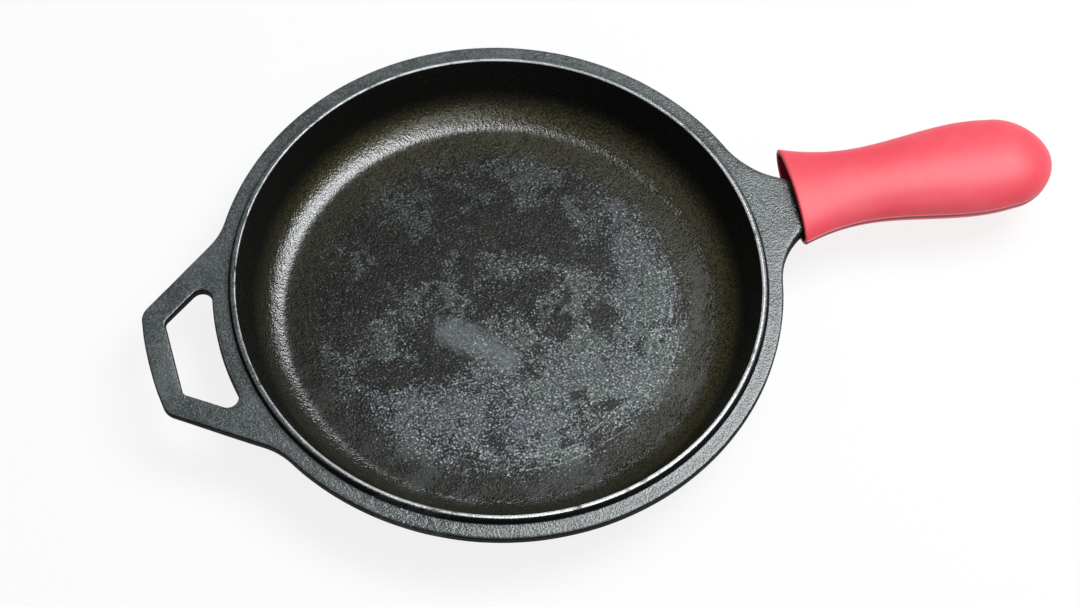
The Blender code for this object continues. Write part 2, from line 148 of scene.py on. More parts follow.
def close_shape_tree(tree, geometry, material):
    """Every tree ends in real geometry with its material set."""
    real = add_node(tree, "GeometryNodeRealizeInstances", {"Geometry": geometry})
    dressed = add_node(tree, "GeometryNodeSetMaterial", {"Geometry": real, "Material": material})
    add_node(tree, "NodeGroupOutput", {"Geometry": dressed})


def run_shape_tree(mesh, tree, values):
    """Runs the tree on a mesh and returns the result as a plain mesh."""
    carrier = bpy.data.objects.new(tree.name, mesh)
    bpy.context.collection.objects.link(carrier)
    modifier = carrier.modifiers.new(tree.name, 'NODES')
    modifier.node_group = tree
    for item in tree.interface.items_tree:
        if item.name in values:
            modifier[item.identifier] = values[item.name]
    depsgraph = bpy.context.evaluated_depsgraph_get()
    result = bpy.data.meshes.new_from_object(carrier.evaluated_get(depsgraph))
    bpy.data.objects.remove(carrier, do_unlink=True)
    return result


def polyline(name, points, inside):
    """A mesh of points in a row, each with its share of being an inner surface."""
    mesh = bpy.data.meshes.new(name)
    mesh.from_pydata([tuple(p) for p in points], [(k, k + 1) for k in range(len(points) - 1)], [])
    mark = mesh.attributes.new("inside", 'FLOAT', 'POINT')
    mark.data.foreach_set("value", inside)
    return mesh


print("kinds of tree input:", [kind.__name__ for kind in INPUT_KINDS])


# %% [markdown]
# ## The bowl: a profile turned round the middle
#
# A skillet's bowl is poured in a sand mould whose pattern was turned on a lathe, so its shape
# is one profile swept round a vertical axis. The profile could be modelled by hand and spun.
# Here it is a row of points with true arcs at each corner, and a Geometry Nodes tree turns it:
# the steps round the rim are one named input, so the finish of the circle is easy to change.

# %% Profile sizes
FLANGE_TOP = 34.5 * MM
FLANGE_THICK = 5.6 * MM
FLANGE_RADIUS = 140.0 * MM
LIP_FOOT_RADIUS = 132.6 * MM
LIP_CREST_RADIUS = 131.5 * MM
BOWL_MOUTH_RADIUS = 129.1 * MM
LIP_TOP = 37.15 * MM
FLOOR_THICK = 4.5 * MM
WALL_LEAN = math.radians(21.5)
WALL_THICK = 4.2 * MM
INNER_CORNER_RADIUS = 18.0 * MM
OUTER_CORNER_RADIUS = 10.0 * MM
LIP_ROUNDING = 0.9 * MM
LIP_FOOT_ROUNDING = 0.8 * MM
WEB_ROUNDING = 4.0 * MM
INNER_PITCH = 3.2 * MM
OUTER_PITCH = 4.0 * MM
TURN_STEPS = 360
print("bowl depth in mm:", round((LIP_TOP - FLOOR_THICK) / MM, 2))


# %% Arcs, corners and rows of points
def arc(centre, radius, start, end, steps):
    """Points on a circle from one angle to another."""
    angles = [start + (end - start) * k / steps for k in range(steps + 1)]
    return [Vector((centre.x + radius * math.cos(a), centre.y + radius * math.sin(a))) for a in angles]


def arc_between(centre, radius, first, last, steps):
    """Points on a circle from one direction to another, the short way round."""
    start = math.atan2(first.y, first.x)
    sweep = (math.atan2(last.y, last.x) - start + math.pi) % (2.0 * math.pi) - math.pi
    return arc(centre, radius, start, start + sweep, steps)


def corner_arc(before, corner, after, radius, steps):
    """The fillet that replaces the corner between two straight runs."""
    back = (before - corner).normalized()
    ahead = (after - corner).normalized()
    half = back.angle(ahead) / 2.0
    centre = corner + (back + ahead).normalized() * (radius / math.sin(half))
    first = corner + back * (radius / math.tan(half)) - centre
    last = corner + ahead * (radius / math.tan(half)) - centre
    return arc_between(centre, radius, first, last, steps)


def subdivided(points, pitch):
    """Extra points wherever two neighbours are further apart than the pitch."""
    result = [points[0]]
    for a, b in zip(points, points[1:]):
        count = max(1, math.ceil((b - a).length / pitch))
        result += [a.lerp(b, k / count) for k in range(1, count + 1)]
    return result


RIM_STEP = 2.0 * math.pi * FLANGE_RADIUS / TURN_STEPS
print("longest step round the rim in mm:", round(RIM_STEP / MM, 2))


# %% The two halves of the profile
def wall_radius(height, offset):
    """Radius of the wall's inner face, or of a line beside it."""
    run = (LIP_TOP - height) * math.tan(WALL_LEAN)
    return BOWL_MOUTH_RADIUS - run + offset / math.cos(WALL_LEAN)


def inner_profile():
    """From the floor's centre up the wall, over the lip and down to the flange."""
    centre = Vector((0.0, FLOOR_THICK))
    floor_edge = Vector((wall_radius(FLOOR_THICK, 0.0), FLOOR_THICK))
    mouth = Vector((BOWL_MOUTH_RADIUS, LIP_TOP))
    crest = Vector((LIP_CREST_RADIUS, LIP_TOP))
    foot = Vector((LIP_FOOT_RADIUS, FLANGE_TOP))
    flange = Vector((FLANGE_RADIUS, FLANGE_TOP))
    points = [centre]
    points += corner_arc(centre, floor_edge, mouth, INNER_CORNER_RADIUS, steps=16)
    points += corner_arc(floor_edge, mouth, crest, LIP_ROUNDING, steps=6)
    points += corner_arc(mouth, crest, foot, LIP_ROUNDING, steps=6)
    points += corner_arc(crest, foot, flange, LIP_FOOT_ROUNDING, steps=4)
    return subdivided(points, INNER_PITCH)


def outer_profile():
    """From under the flange down the outside of the wall to the base's centre."""
    under = FLANGE_TOP - FLANGE_THICK
    flange = Vector((FLANGE_RADIUS, under))
    web = Vector((wall_radius(under, WALL_THICK), under))
    base_edge = Vector((wall_radius(0.0, WALL_THICK), 0.0))
    centre = Vector((0.0, 0.0))
    points = corner_arc(flange, web, base_edge, WEB_ROUNDING, steps=6)
    points += corner_arc(web, base_edge, centre, OUTER_CORNER_RADIUS, steps=10)
    points += [centre]
    return subdivided(points, OUTER_PITCH)


print("base radius in mm:", round(wall_radius(0.0, WALL_THICK) / MM, 1))


# %% Sweeping a row of points round an axis
INDEX_NUDGE = 1.0e-4
MERGE_DISTANCE = 0.01 * MM


def swept_grid(tree, given):
    """A grid with one column for each point of the row, and the turn of each of its points."""
    line = given["Geometry"]
    count = add_node(tree, "GeometryNodeAttributeDomainSize", {"Geometry": line}, component='MESH')
    rows = given["Steps around"] + 1.0
    grid = add_node(tree, "GeometryNodeMeshGrid", {
        "Vertices X": count.outputs["Point Count"], "Vertices Y": rows})
    index = Field(tree, add_node(tree, "GeometryNodeInputIndex").outputs[0])
    column = (index / rows + INDEX_NUDGE).calc('FLOOR')
    turn = (index - column * rows) * (2.0 * math.pi) / given["Steps around"]
    place = add_node(tree, "GeometryNodeInputPosition")
    mark = add_node(tree, "GeometryNodeInputNamedAttribute", {"Name": "inside"}, data_type='FLOAT')
    point = add_node(tree, "GeometryNodeSampleIndex", {
        "Geometry": line, "Value": place, "Index": column}, data_type='FLOAT_VECTOR')
    inside = add_node(tree, "GeometryNodeSampleIndex", {
        "Geometry": line, "Value": mark, "Index": column}, data_type='FLOAT')
    return grid.outputs["Mesh"], turn, split(tree, point), Field(tree, inside.outputs[0])


def close_swept_tree(tree, grid, place, inside, finish):
    """Places the grid's points, stores their mark, and merges the seam and the poles."""
    placed = add_node(tree, "GeometryNodeSetPosition", {"Geometry": grid, "Position": place})
    marked = add_node(tree, "GeometryNodeStoreNamedAttribute", {
        "Geometry": placed, "Name": "inside", "Value": inside}, data_type='FLOAT', domain='POINT')
    closed = add_node(tree, "GeometryNodeMergeByDistance", {
        "Geometry": marked, "Distance": MERGE_DISTANCE})
    close_shape_tree(tree, closed, finish)


print("points closer than this are merged, in mm:", round(MERGE_DISTANCE / MM, 3))


# %% The tree that turns a profile
def turning_tree():
    """Sweeps the profile round Z."""
    tree, given = new_shape_tree("turned profile", {"Steps around": int, "Finish": bpy.types.Material})
    grid, turn, (radius, _, height), inside = swept_grid(tree, given)
    place = combine(tree, radius * turn.calc('COSINE'), radius * turn.calc('SINE'), height)
    close_swept_tree(tree, grid, place, inside, given["Finish"])
    return tree


def turned(name, tree, profile, inside, finish):
    """The mesh of a turned profile."""
    line = polyline(name, [(p.x, 0.0, p.y) for p in profile], inside)
    mesh = run_shape_tree(line, tree, {"Steps around": TURN_STEPS, "Finish": finish})
    print(name, "points in profile:", len(profile), "faces:", len(mesh.polygons))
    return mesh


bowl_tree = turning_tree()
print("turning tree nodes:", len(bowl_tree.nodes))


# %% [markdown]
# ## The iron finish
#
# Seasoned iron is a sand-cast skin under baked-on oil. On the real pan it is dark grey and
# sandy on the rim plate, black on the wall and brown in the corner. On the floor the black has
# worn and burnt into ragged patches of lighter grey. That could be painted as an image over an
# unwrapped mesh. Here it is worked out from where each point lies instead: the height and the
# radius choose the zone, strokes with two ends mark the worn and burnt places, and noises of
# several sizes make the grain, the pits and the clouds. Nothing has to be unwrapped, and the
# grain keeps its size on every surface.


# %% Helpers for finishes
def noise(tree, place, size, detail=2.0, rough=0.5, warp=0.0):
    """Noise whose spots are about the given size."""
    made = add_node(tree, "ShaderNodeTexNoise", {
        "Vector": place, "Scale": 1.0 / size, "Detail": detail, "Roughness": rough, "Distortion": warp})
    return Field(tree, made.outputs["Fac"])


def tint(tree, share, first, second):
    """Mixes two colours, each a colour or another mix."""
    made = add_node(tree, "ShaderNodeMix", data_type='RGBA')
    for slot, value in ((made.inputs[0], share), (made.inputs[6], first), (made.inputs[7], second)):
        if isinstance(value, tuple):
            value = (*value, 1.0)
        plug(tree, value, slot)
    return made.outputs[2]


def new_material(name):
    """A material with its node tree and its shader."""
    material = bpy.data.materials.new(name)
    material.use_nodes = True
    return material, material.node_tree, material.node_tree.nodes["Principled BSDF"]


def new_finish(name):
    """A material, its tree and shader, a point's place, and its share of the inner surface."""
    finish, tree, shader = new_material(name)
    place = add_node(tree, "ShaderNodeTexCoord").outputs["Object"]
    inside = add_node(tree, "ShaderNodeAttribute", attribute_name="inside").outputs["Fac"]
    return finish, tree, shader, place, Field(tree, inside)


def bumped(tree, height, depth, below=None):
    """Relief of the given depth in metres, laid over another relief."""
    made = add_node(tree, "ShaderNodeBump", {"Height": height, "Distance": depth})
    if below is not None:
        plug(tree, below, made.inputs["Normal"])
    return made.outputs[0]


print("finish helpers:", [helper.__name__ for helper in (noise, tint, new_finish, bumped)])

# %% Colours of the iron
# The top's greys are partly painted sheen; the side and underside blacks are painted shade.
SKIN_GREY = (0.126, 0.141, 0.142)
SKIN_DARK = (0.046, 0.053, 0.055)
SIDE_SHADE_BLACK = (0.005, 0.006, 0.006)
BELOW_SHADE_BLACK = (0.014, 0.016, 0.016)
WALL_BLACK = (0.0055, 0.0057, 0.0046)
CORNER_BLACK = (0.013, 0.0125, 0.008)
CORNER_BROWN = (0.074, 0.061, 0.022)
FLOOR_BLACK = (0.0078, 0.0090, 0.0074)
FLOOR_BROWN = (0.027, 0.0245, 0.018)
FLOOR_LILAC = (0.190, 0.201, 0.228)
FLOOR_TEAL = (0.180, 0.210, 0.205)
BALD_GREY = (0.175, 0.197, 0.198)
# The crest's greys are bare metal brightened by a painted highlight.
CREST_GREY = (0.60, 0.61, 0.61)
CREST_HIGHLIGHT = (0.90, 0.91, 0.91)
SCORCH_BROWN = (0.048, 0.041, 0.019)
SCORCH_BLACK = (0.016, 0.016, 0.013)
# The colour of glints on single grains: a painted highlight.
GLINT = (0.62, 0.64, 0.65)
print("brightest and darkest iron:", max(CREST_HIGHLIGHT), min(WALL_BLACK))

# %% Grain sizes, how wear and painted light lean towards the near side, and how browning leans
GRAIN_SIZE = 1.05 * MM
COARSE_SIZE = 2.4 * MM
PIT_SIZE = 5.0 * MM
PATCH_SIZE = 24.0 * MM
CLOUD_SIZE = 30.0 * MM
SAND_LOW, SAND_HIGH = 0.43, 0.58
NEAR_START, NEAR_FULL = -100.0 * MM, 120.0 * MM
BROWNED_START, BROWNED_FULL = -100.0 * MM, 60.0 * MM
LEAST_BROWNED = 0.15
print("grain sizes in mm:", [round(size / MM, 2) for size in (GRAIN_SIZE, COARSE_SIZE, PIT_SIZE)])


# %% Where a point of the iron is, and the grain of the cast skin there
class Spot:
    """A point's place, the way it faces, and the noises that every zone shares."""

    def __init__(self, tree, place, inside):
        self.tree = tree
        self.place = place
        self.inside = inside
        self.outside = inside.flipped()
        self.x, self.y, self.z = split(tree, place)
        self.radius = (self.x * self.x + self.y * self.y).calc('SQRT')
        self.upward = split(tree, add_node(tree, "ShaderNodeTexCoord").outputs["Normal"])[2]
        # Towards the near side the floor is lightened: partly real wear, partly painted light.
        self.near = (self.x * 0.30 - self.y).ramp(NEAR_START, NEAR_FULL)
        far_right = (self.x * 0.8 + self.y * 0.6).ramp(BROWNED_START, BROWNED_FULL)
        self.browned = far_right * (1.0 - LEAST_BROWNED) + LEAST_BROWNED
        self.grain = noise(tree, place, GRAIN_SIZE, rough=0.6)
        self.coarse = noise(tree, place, COARSE_SIZE)
        self.pits = noise(tree, place, PIT_SIZE, detail=3.0, rough=0.55)
        self.cloud = noise(tree, place, CLOUD_SIZE, detail=5.0, rough=0.6)
        self.ragged = noise(tree, place, PATCH_SIZE, detail=8.0, rough=0.62, warp=0.25)
        self.sand = (self.grain * 0.82 + self.coarse * 0.18).ramp(SAND_LOW, SAND_HIGH)

    def ring(self, inner, outer, soft):
        """One between two radii, falling to zero over a soft edge."""
        beyond = self.radius.ramp(inner - soft, inner)
        return beyond * self.radius.ramp(outer, outer + soft).flipped()


print("sizes of patches and clouds in mm:", round(PATCH_SIZE / MM), round(CLOUD_SIZE / MM))

# %% [markdown]
# ## Worn, bald and burnt places
#
# A cook's spoon and a stack of pans wear a skillet in the same places again and again, so the
# wear isn't even. Noise alone would put it anywhere. Each place is given as a stroke, with two
# ends and half a width in millimetres, and the ragged noise breaks up its edge. The strokes
# push the wear up or down there, and the noise decides the rest.

# %% Strokes: two ends and half the width, in mm
SCUFFED = (((-86.0, -103.0), (-68.0, -121.0), 8.0),)
BALD = (((-27.0, -6.0), (-4.0, -31.0), 8.5),)
WORN = (
    ((-64.0, -40.0), (-34.0, -54.0), 15.0),
    ((22.0, -48.0), (58.0, -58.0), 15.0),
    ((72.0, 38.0), (76.0, -20.0), 11.0),
    ((-18.0, -38.0), (-12.0, -52.0), 11.0),
    ((-10.0, -66.0), (4.0, -70.0), 12.0))
BURNT = (
    ((-78.0, 22.0), (-42.0, 38.0), 26.0),
    ((0.0, 46.0), (40.0, 36.0), 15.0),
    ((14.0, -14.0), (50.0, -22.0), 11.0),
    ((-70.0, -20.0), (-42.0, -20.0), 9.0))
STROKE_RAGS = 3.2
STROKE_CORE, STROKE_EDGE = 0.3, 1.2


def stroke_share(spot, strokes, rag):
    """How far a point lies inside any of the strokes, 0 outside and 1 along their middles."""
    total = None
    for (start_x, start_y), (end_x, end_y), half_width in strokes:
        run_x, run_y = end_x - start_x, end_y - start_y
        from_x, from_y = spot.x - start_x * MM, spot.y - start_y * MM
        along = (from_x * run_x + from_y * run_y).ramp(0.0, (run_x * run_x + run_y * run_y) * MM)
        off_x, off_y = from_x - along * (run_x * MM), from_y - along * (run_y * MM)
        frayed = (rag - 0.5) * (STROKE_RAGS * half_width * MM)
        away = (off_x * off_x + off_y * off_y).calc('SQRT') + frayed
        share = away.ramp(half_width * STROKE_CORE * MM, half_width * STROKE_EDGE * MM).flipped()
        total = share if total is None else total.calc('MAXIMUM', share)
    return total


print("strokes:", len(SCUFFED) + len(BALD) + len(WORN) + len(BURNT))


# %% Colour of the outside
# Heights at which the outside's painted shade turns from the underside's dark to the sides' black.
PLATE_START, PLATE_FULL = 26.0 * MM, 29.0 * MM
# Where the painted shade at the lip's foot lies.
GROOVE_INNER, GROOVE_OUTER, GROOVE_SOFT = 131.0 * MM, 132.5 * MM, 0.5 * MM
GROOVE_HEIGHT = 34.0 * MM
GROOVE_NEAR, GROOVE_FADED = -100.0 * MM, -20.0 * MM


def lip_foot_painted_shade(spot):
    """The groove round the lip, painted black as shade on the near side."""
    band = spot.ring(GROOVE_INNER, GROOVE_OUTER, GROOVE_SOFT) * spot.z.ramp(PLATE_FULL, GROOVE_HEIGHT)
    return band * spot.y.ramp(GROOVE_NEAR, GROOVE_FADED).flipped()


def skin_colour(spot, scuff):
    """Lighter on top, the iron's grey with some painted sheen; darker below and black on the plate's
    sides as painted shade; scuffed at one place.
    """
    tree = spot.tree
    shade = spot.cloud * 0.7 + spot.pits * 0.12 + (spot.sand - 0.5) * 0.18 + 0.12
    top = tint(tree, shade.ramp(0.34, 0.70), SKIN_DARK, SKIN_GREY)
    below = tint(tree, shade.ramp(0.30, 0.70), BELOW_SHADE_BLACK, SKIN_DARK)
    # Painted shade: faces that do not point up are dark low down and black on the plate's sides.
    side = tint(tree, spot.z.ramp(PLATE_START, PLATE_FULL), below, SIDE_SHADE_BLACK)
    skin = tint(tree, spot.upward.ramp(0.60, 0.96), side, top)
    # Painted shade: the groove at the lip's foot goes black on the near side.
    skin = tint(tree, lip_foot_painted_shade(spot), skin, SIDE_SHADE_BLACK)
    return tint(tree, scuff * spot.sand.flipped(), skin, SKIN_DARK)


print("the plate's side blackens between heights in mm:", PLATE_START / MM, PLATE_FULL / MM)


# %% Colour of the floor
BROAD_SIZE = 60.0 * MM
HUE_SIZE = 26.0 * MM
BURNT_SPOT_SIZE = 11.0 * MM
STROKE_WEAR, STROKE_BURN = 0.10, 0.13
WORN_START, WORN_FULL = 0.465, 0.565
FLOOR_EDGE, SCORCH_FULL = 86.0 * MM, 98.0 * MM


def wear_and_painted_light_share(spot):
    """How far the black of the floor has worn to grey; its rise towards the near side is partly wear
    and partly painted light.
    """
    broad = noise(spot.tree, spot.place, BROAD_SIZE)
    worn = stroke_share(spot, WORN, spot.ragged) * STROKE_WEAR
    placed = worn - stroke_share(spot, BURNT, spot.ragged) * STROKE_BURN
    # The lean and the near side's weight lighten the floor towards the near right: partly wear, partly
    # painted light.
    lean = spot.y * -0.30 + spot.x * 0.10 - 0.010
    grains = spot.pits * 0.12 + (spot.sand - 0.5) * 0.08
    share = (spot.ragged * 0.75 + broad * 0.13 + grains + lean + placed).ramp(WORN_START, WORN_FULL)
    return (share * (spot.sand * 0.84 + 0.24) + spot.sand * 0.05) * (spot.near * 0.76 + 0.22)


def floor_colour(spot, worn):
    """Worn grey over black, a bald patch, burnt spots, and a brown ring at the edge."""
    tree = spot.tree
    hue = noise(tree, spot.place, HUE_SIZE, detail=3.0, rough=0.6)
    grey = tint(tree, hue.ramp(0.42, 0.58), FLOOR_LILAC, FLOOR_TEAL)
    baked = (spot.pits * 0.6 + spot.cloud * 0.4).ramp(0.42, 0.60) * (spot.sand * 0.7 + 0.3)
    floor = tint(tree, worn, tint(tree, baked, FLOOR_BLACK, FLOOR_BROWN), grey)
    spots = noise(tree, spot.place, BURNT_SPOT_SIZE)
    floor = tint(tree, spots.ramp(0.59, 0.65) * 0.85, floor, FLOOR_BLACK)
    bald = stroke_share(spot, BALD, (spot.ragged + spot.pits) * 0.5)
    floor = tint(tree, bald * (spot.sand * 0.4 + 0.45), floor, BALD_GREY)
    scorched = (spot.ragged * 0.5 + spot.sand * 0.5).ramp(0.20, 0.75) * 0.9
    scorch = tint(tree, spot.browned, SCORCH_BLACK, SCORCH_BROWN)
    return tint(tree, spot.radius.ramp(FLOOR_EDGE, SCORCH_FULL) * scorched, floor, scorch)


print("the floor's grey turns brown beyond a radius in mm of", FLOOR_EDGE / MM)


# %% Colour going up the bowl
BROWN_START, BROWN_FULL = 4.7 * MM, 7.0 * MM
WALL_START, WALL_FULL = 9.0 * MM, 21.0 * MM
HEIGHT_WANDER = 2.5 * MM


def inner_colour(spot, worn):
    """Floor, brown corner, black wall; the pits make the changes uneven."""
    tree = spot.tree
    height = spot.z + (spot.pits - 0.5) * HEIGHT_WANDER
    brown = tint(tree, spot.sand * spot.browned, CORNER_BLACK, CORNER_BROWN)
    inner = tint(tree, height.ramp(BROWN_START, BROWN_FULL), floor_colour(spot, worn), brown)
    return tint(tree, height.ramp(WALL_START, WALL_FULL), inner, WALL_BLACK)


print("the wall blackens between heights in mm:", WALL_START / MM, WALL_FULL / MM)

# %% [markdown]
# ## Bare metal, oil and relief
#
# Three things make iron look like iron in the light. Where it is rubbed, as on the crest of the
# lip, bare metal shows, made brighter still by a painted highlight, and single grains are painted
# bright as glints: a painted highlight, with some bare metal. Where it is oiled, a thin film shines
# over the dull black below it: that is the shader's coat, whose weight comes from the zones, while
# the base keeps a low gloss so that the floor stays dark. And the relief of the casting breaks the
# film's highlight into sparks, which is why both the base and the coat read the same relief.

# %% The rubbed crest of the lip
CREST_START, CREST_FULL = 36.3 * MM, 36.8 * MM
CREST_INNER, CREST_OUTER = 129.8 * MM, 130.2 * MM


def crest_share(spot):
    """The inner edge of the lip, rubbed bare, and widened towards the near right as a painted
    highlight.
    """
    reach = spot.radius + spot.y * 0.003 - spot.x * 0.002 - spot.y * spot.y * 0.02
    edge = spot.z.ramp(CREST_START, CREST_FULL) * reach.ramp(CREST_INNER, CREST_OUTER).flipped()
    return edge * (spot.pits + spot.cloud).ramp(0.65, 1.0)


def crest_wear_and_highlight_colour(spot):
    """Brightest on the far and the near side, as a painted highlight over the bare metal that spoons
    rub.
    """
    across = spot.y * 0.98 - spot.x * 0.17
    return tint(spot.tree, (across * across).ramp(0.009, 0.0155), CREST_GREY, CREST_HIGHLIGHT)


print("the crest is bare from a height in mm of", CREST_START / MM)


# %% Glinting grains and scrape marks
SCRAPE_RADIUS = 88.5 * MM
RING_CORE, RING_EDGE, RING_WANDER = 0.4 * MM, 2.2 * MM, 10.0 * MM
RING_LEFT, RING_RIGHT = -30.0 * MM, 60.0 * MM
GLINTS_END = 104.0 * MM
GLINTS_THIN, GLINTS_GONE = 6.0 * MM, 12.0 * MM
MARKS_INNER, MARKS_OUTER, MARKS_SOFT = 80.0 * MM, 92.0 * MM, 5.0 * MM
MARKS_START, MARKS_FULL = 10.0 * MM, 70.0 * MM
MARK_WIDTH, MARK_SHORTENING = 1.6 * MM, 0.012


def glint_share(spot, worn, scuff):
    """Single grains painted bright as glints, a painted highlight with some bare metal: on worn iron,
    on the scuff and along a scraped ring.
    """
    grains = (spot.grain * 0.84 + spot.coarse * 0.16).ramp(0.595, 0.675)
    off_ring = (spot.radius - SCRAPE_RADIUS + (spot.ragged - 0.5) * RING_WANDER).calc('ABSOLUTE')
    ring = off_ring.ramp(RING_CORE, RING_EDGE).flipped() * spot.x.ramp(RING_LEFT, RING_RIGHT) * 0.6
    # Painted highlight: the floor's glints grow towards the near side.
    floor = (spot.near * 0.38 + 0.20) * (worn * 0.8 + 0.30) * 2.7
    floor = floor * spot.radius.ramp(FLOOR_EDGE, GLINTS_END).flipped() + ring
    share = floor * spot.inside + spot.outside * (scuff * 0.7 + 0.08)
    up_the_wall = spot.inside * spot.z.ramp(GLINTS_THIN, GLINTS_GONE)
    return grains * share * up_the_wall.flipped() * spot.upward.ramp(0.3, 0.8)


def scrape_share(spot):
    """Short curved marks that a turner leaves near the edge of the floor."""
    tree = spot.tree
    turn = spot.y.calc('ARCTAN2', spot.x)
    track = noise(tree, combine(tree, turn * MARK_SHORTENING, spot.radius, 0.0), MARK_WIDTH)
    where = spot.ring(MARKS_INNER, MARKS_OUTER, MARKS_SOFT)
    where = where * (spot.x * 0.6 - spot.y * 0.8).ramp(MARKS_START, MARKS_FULL)
    return track.ramp(0.57, 0.66) * where * spot.inside * (spot.sand * 0.7 + 0.3) * 0.45


print("scraped ring at a radius in mm of", SCRAPE_RADIUS / MM)


# %% Oil film and relief
OIL_START, OIL_FULL, OIL_WANDER = 4.45 * MM, 5.1 * MM, 0.5 * MM
FLOOR_OIL, PLATE_OIL = 0.015, 0.48
OIL_THINS, OIL_THIN = 11.0 * MM, 22.0 * MM
DRY_START, DRY_FULL = 10.0 * MM, 90.0 * MM
PIT_DEPTH, COARSE_DEPTH, GRAIN_DEPTH = 0.22 * MM, 0.28 * MM, 0.25 * MM


def oil_share(spot, worn):
    """Coat weight: shiny on the plate and in the corner, nearly dry on the floor and wall."""
    corner = (spot.z + (spot.grain - 0.5) * OIL_WANDER).ramp(OIL_START, OIL_FULL)
    floor_oil = worn.flipped() * 0.03 + FLOOR_OIL
    up_the_wall = spot.z.ramp(OIL_THINS, OIL_THIN) * -0.8 + 1.0
    dry_right = spot.x.ramp(DRY_START, DRY_FULL) * -0.5 + 1.0
    inside_oil = floor_oil + floor_oil.flipped() * corner * up_the_wall * dry_right
    outside_oil = spot.upward.ramp(0.6, 0.95) * lip_foot_painted_shade(spot).flipped() * PLATE_OIL
    return outside_oil + (inside_oil - outside_oil) * spot.inside


def iron_relief(spot, scuff):
    """Pits, coarse grain and sand grain laid over each other, deeper inside the bowl."""
    pitted = spot.pits * (spot.inside * 0.7 + 0.3)
    coarse = spot.coarse * (spot.inside * 0.65 + 0.2 + scuff)
    sandy = spot.grain * (spot.inside * 0.6 + 0.8 + scuff)
    relief = None
    for height, depth in ((pitted, PIT_DEPTH), (coarse, COARSE_DEPTH), (sandy, GRAIN_DEPTH)):
        relief = bumped(spot.tree, height, depth, relief)
    return relief


print("oil gathers in the corner from a height in mm of", OIL_START / MM)


# %% The finished iron
OIL_ROUGHNESS = 0.13
OIL_IOR = 1.95
BASE_GLOSS = 0.12
SIDE_ROUGHNESS = 0.40


def seasoned_iron():
    """The colours, the roughness, the oil and the relief in one material."""
    finish, tree, shader, place, inside = new_finish("seasoned_iron")
    spot = Spot(tree, place, inside)
    scuff = stroke_share(spot, SCUFFED, spot.pits) * spot.outside
    worn = wear_and_painted_light_share(spot)
    crest = crest_share(spot)
    bright = glint_share(spot, worn, scuff).calc('MAXIMUM', scrape_share(spot))
    colour = tint(tree, inside, skin_colour(spot, scuff), inner_colour(spot, worn))
    # The crest: bare metal with a painted highlight.
    colour = tint(tree, crest, colour, crest_wear_and_highlight_colour(spot))
    # Painted glints on single grains, and the real scrape marks.
    plug(tree, tint(tree, bright, colour, GLINT), shader.inputs["Base Color"])
    dry = spot.upward.ramp(0.30, 0.90).flipped() * spot.outside * SIDE_ROUGHNESS
    plug(tree, spot.sand * 0.10 + spot.cloud * 0.12 + 0.16 + dry, shader.inputs["Roughness"])
    plug(tree, oil_share(spot, worn).calc('MAXIMUM', crest), shader.inputs["Coat Weight"])
    shader.inputs["Coat Roughness"].default_value = OIL_ROUGHNESS
    shader.inputs["Coat IOR"].default_value = OIL_IOR
    shader.inputs["Specular IOR Level"].default_value = BASE_GLOSS
    relief = iron_relief(spot, scuff)
    plug(tree, relief, shader.inputs["Normal"])
    plug(tree, relief, shader.inputs["Coat Normal"])
    return finish


iron = seasoned_iron()
print("iron finish nodes:", len(iron.node_tree.nodes))

# %% [markdown]
# ## The rim plate
#
# The flange, the helper loop, the neck and the grip are one flat plate in plan, with rounded
# edges. Its outline is drawn with arcs that touch each other, as a pattern maker would scribe
# it, and its faces are filled with small triangles so that the cast surface can be uneven.

# %% Plan sizes
HELPER_TIP_X = -174.8 * MM
HELPER_HALF_WIDTH = 28.0 * MM
HELPER_TIP_CROWN = 2.1 * MM
HELPER_SIDE_ANGLE = math.radians(35.5)
HELPER_BAR = 12.4 * MM
NECK_HALF_WIDTH = 12.0 * MM
NECK_BLEND_RADIUS = 43.0 * MM
GRIP_HALF_WIDTH = 14.4 * MM
GRIP_END_X = 285.1 * MM
GRIP_WIDEST_X = 261.1 * MM
GRIP_NOSE_LENGTH = 19.0 * MM
HELPER_BLEND_RADIUS = 36.0 * MM
HELPER_CORNER_RADIUS = 9.0 * MM
HELPER_THINNING = 1.2 * MM
HOLE_GAP = 0.6 * MM
HOLE_BLEND_RADIUS = 5.0 * MM
HOLE_CORNER_RADIUS = 3.0 * MM
EYE_WIDE_X, EYE_WIDE_RADIUS = 262.1 * MM, 6.2 * MM
EYE_NARROW_X, EYE_NARROW_RADIUS = 242.1 * MM, 3.6 * MM
GRIP_STARTS_X, GRIP_FULL_X = 126.0 * MM, 160.0 * MM
GRIP_THICKENING = 3.2 * MM
EDGE_ROUNDING = 1.3 * MM
GRIP_EDGE_ROUNDING = 3.0 * MM
OUTLINE_PITCH = 2.6 * MM
print("length of the iron in mm:", round((GRIP_END_X - HELPER_TIP_X) / MM, 1))


# %% How the plate's thickness and its rounded edge change along it
def smooth(t):
    """A smooth step from 0 to 1."""
    t = min(max(t, 0.0), 1.0)
    return t * t * (3.0 - 2.0 * t)


def grip_share(x):
    """How far the flange has turned into the grip."""
    return smooth((x - GRIP_STARTS_X) / (GRIP_FULL_X - GRIP_STARTS_X))


def plate_top(_):
    """Height of the top face, which is level everywhere."""
    return FLANGE_TOP


def plate_bottom(x):
    """Height of the underside: the helper loop is thinner and the grip is thicker."""
    thick = FLANGE_THICK + GRIP_THICKENING * grip_share(x)
    thick -= HELPER_THINNING * smooth((-x - FLANGE_RADIUS) / (-HELPER_TIP_X - FLANGE_RADIUS))
    return FLANGE_TOP - thick


def plate_rounding(x):
    """Radius of the plate's rounded edge, which grows towards the grip."""
    return EDGE_ROUNDING + (GRIP_EDGE_ROUNDING - EDGE_ROUNDING) * grip_share(x)


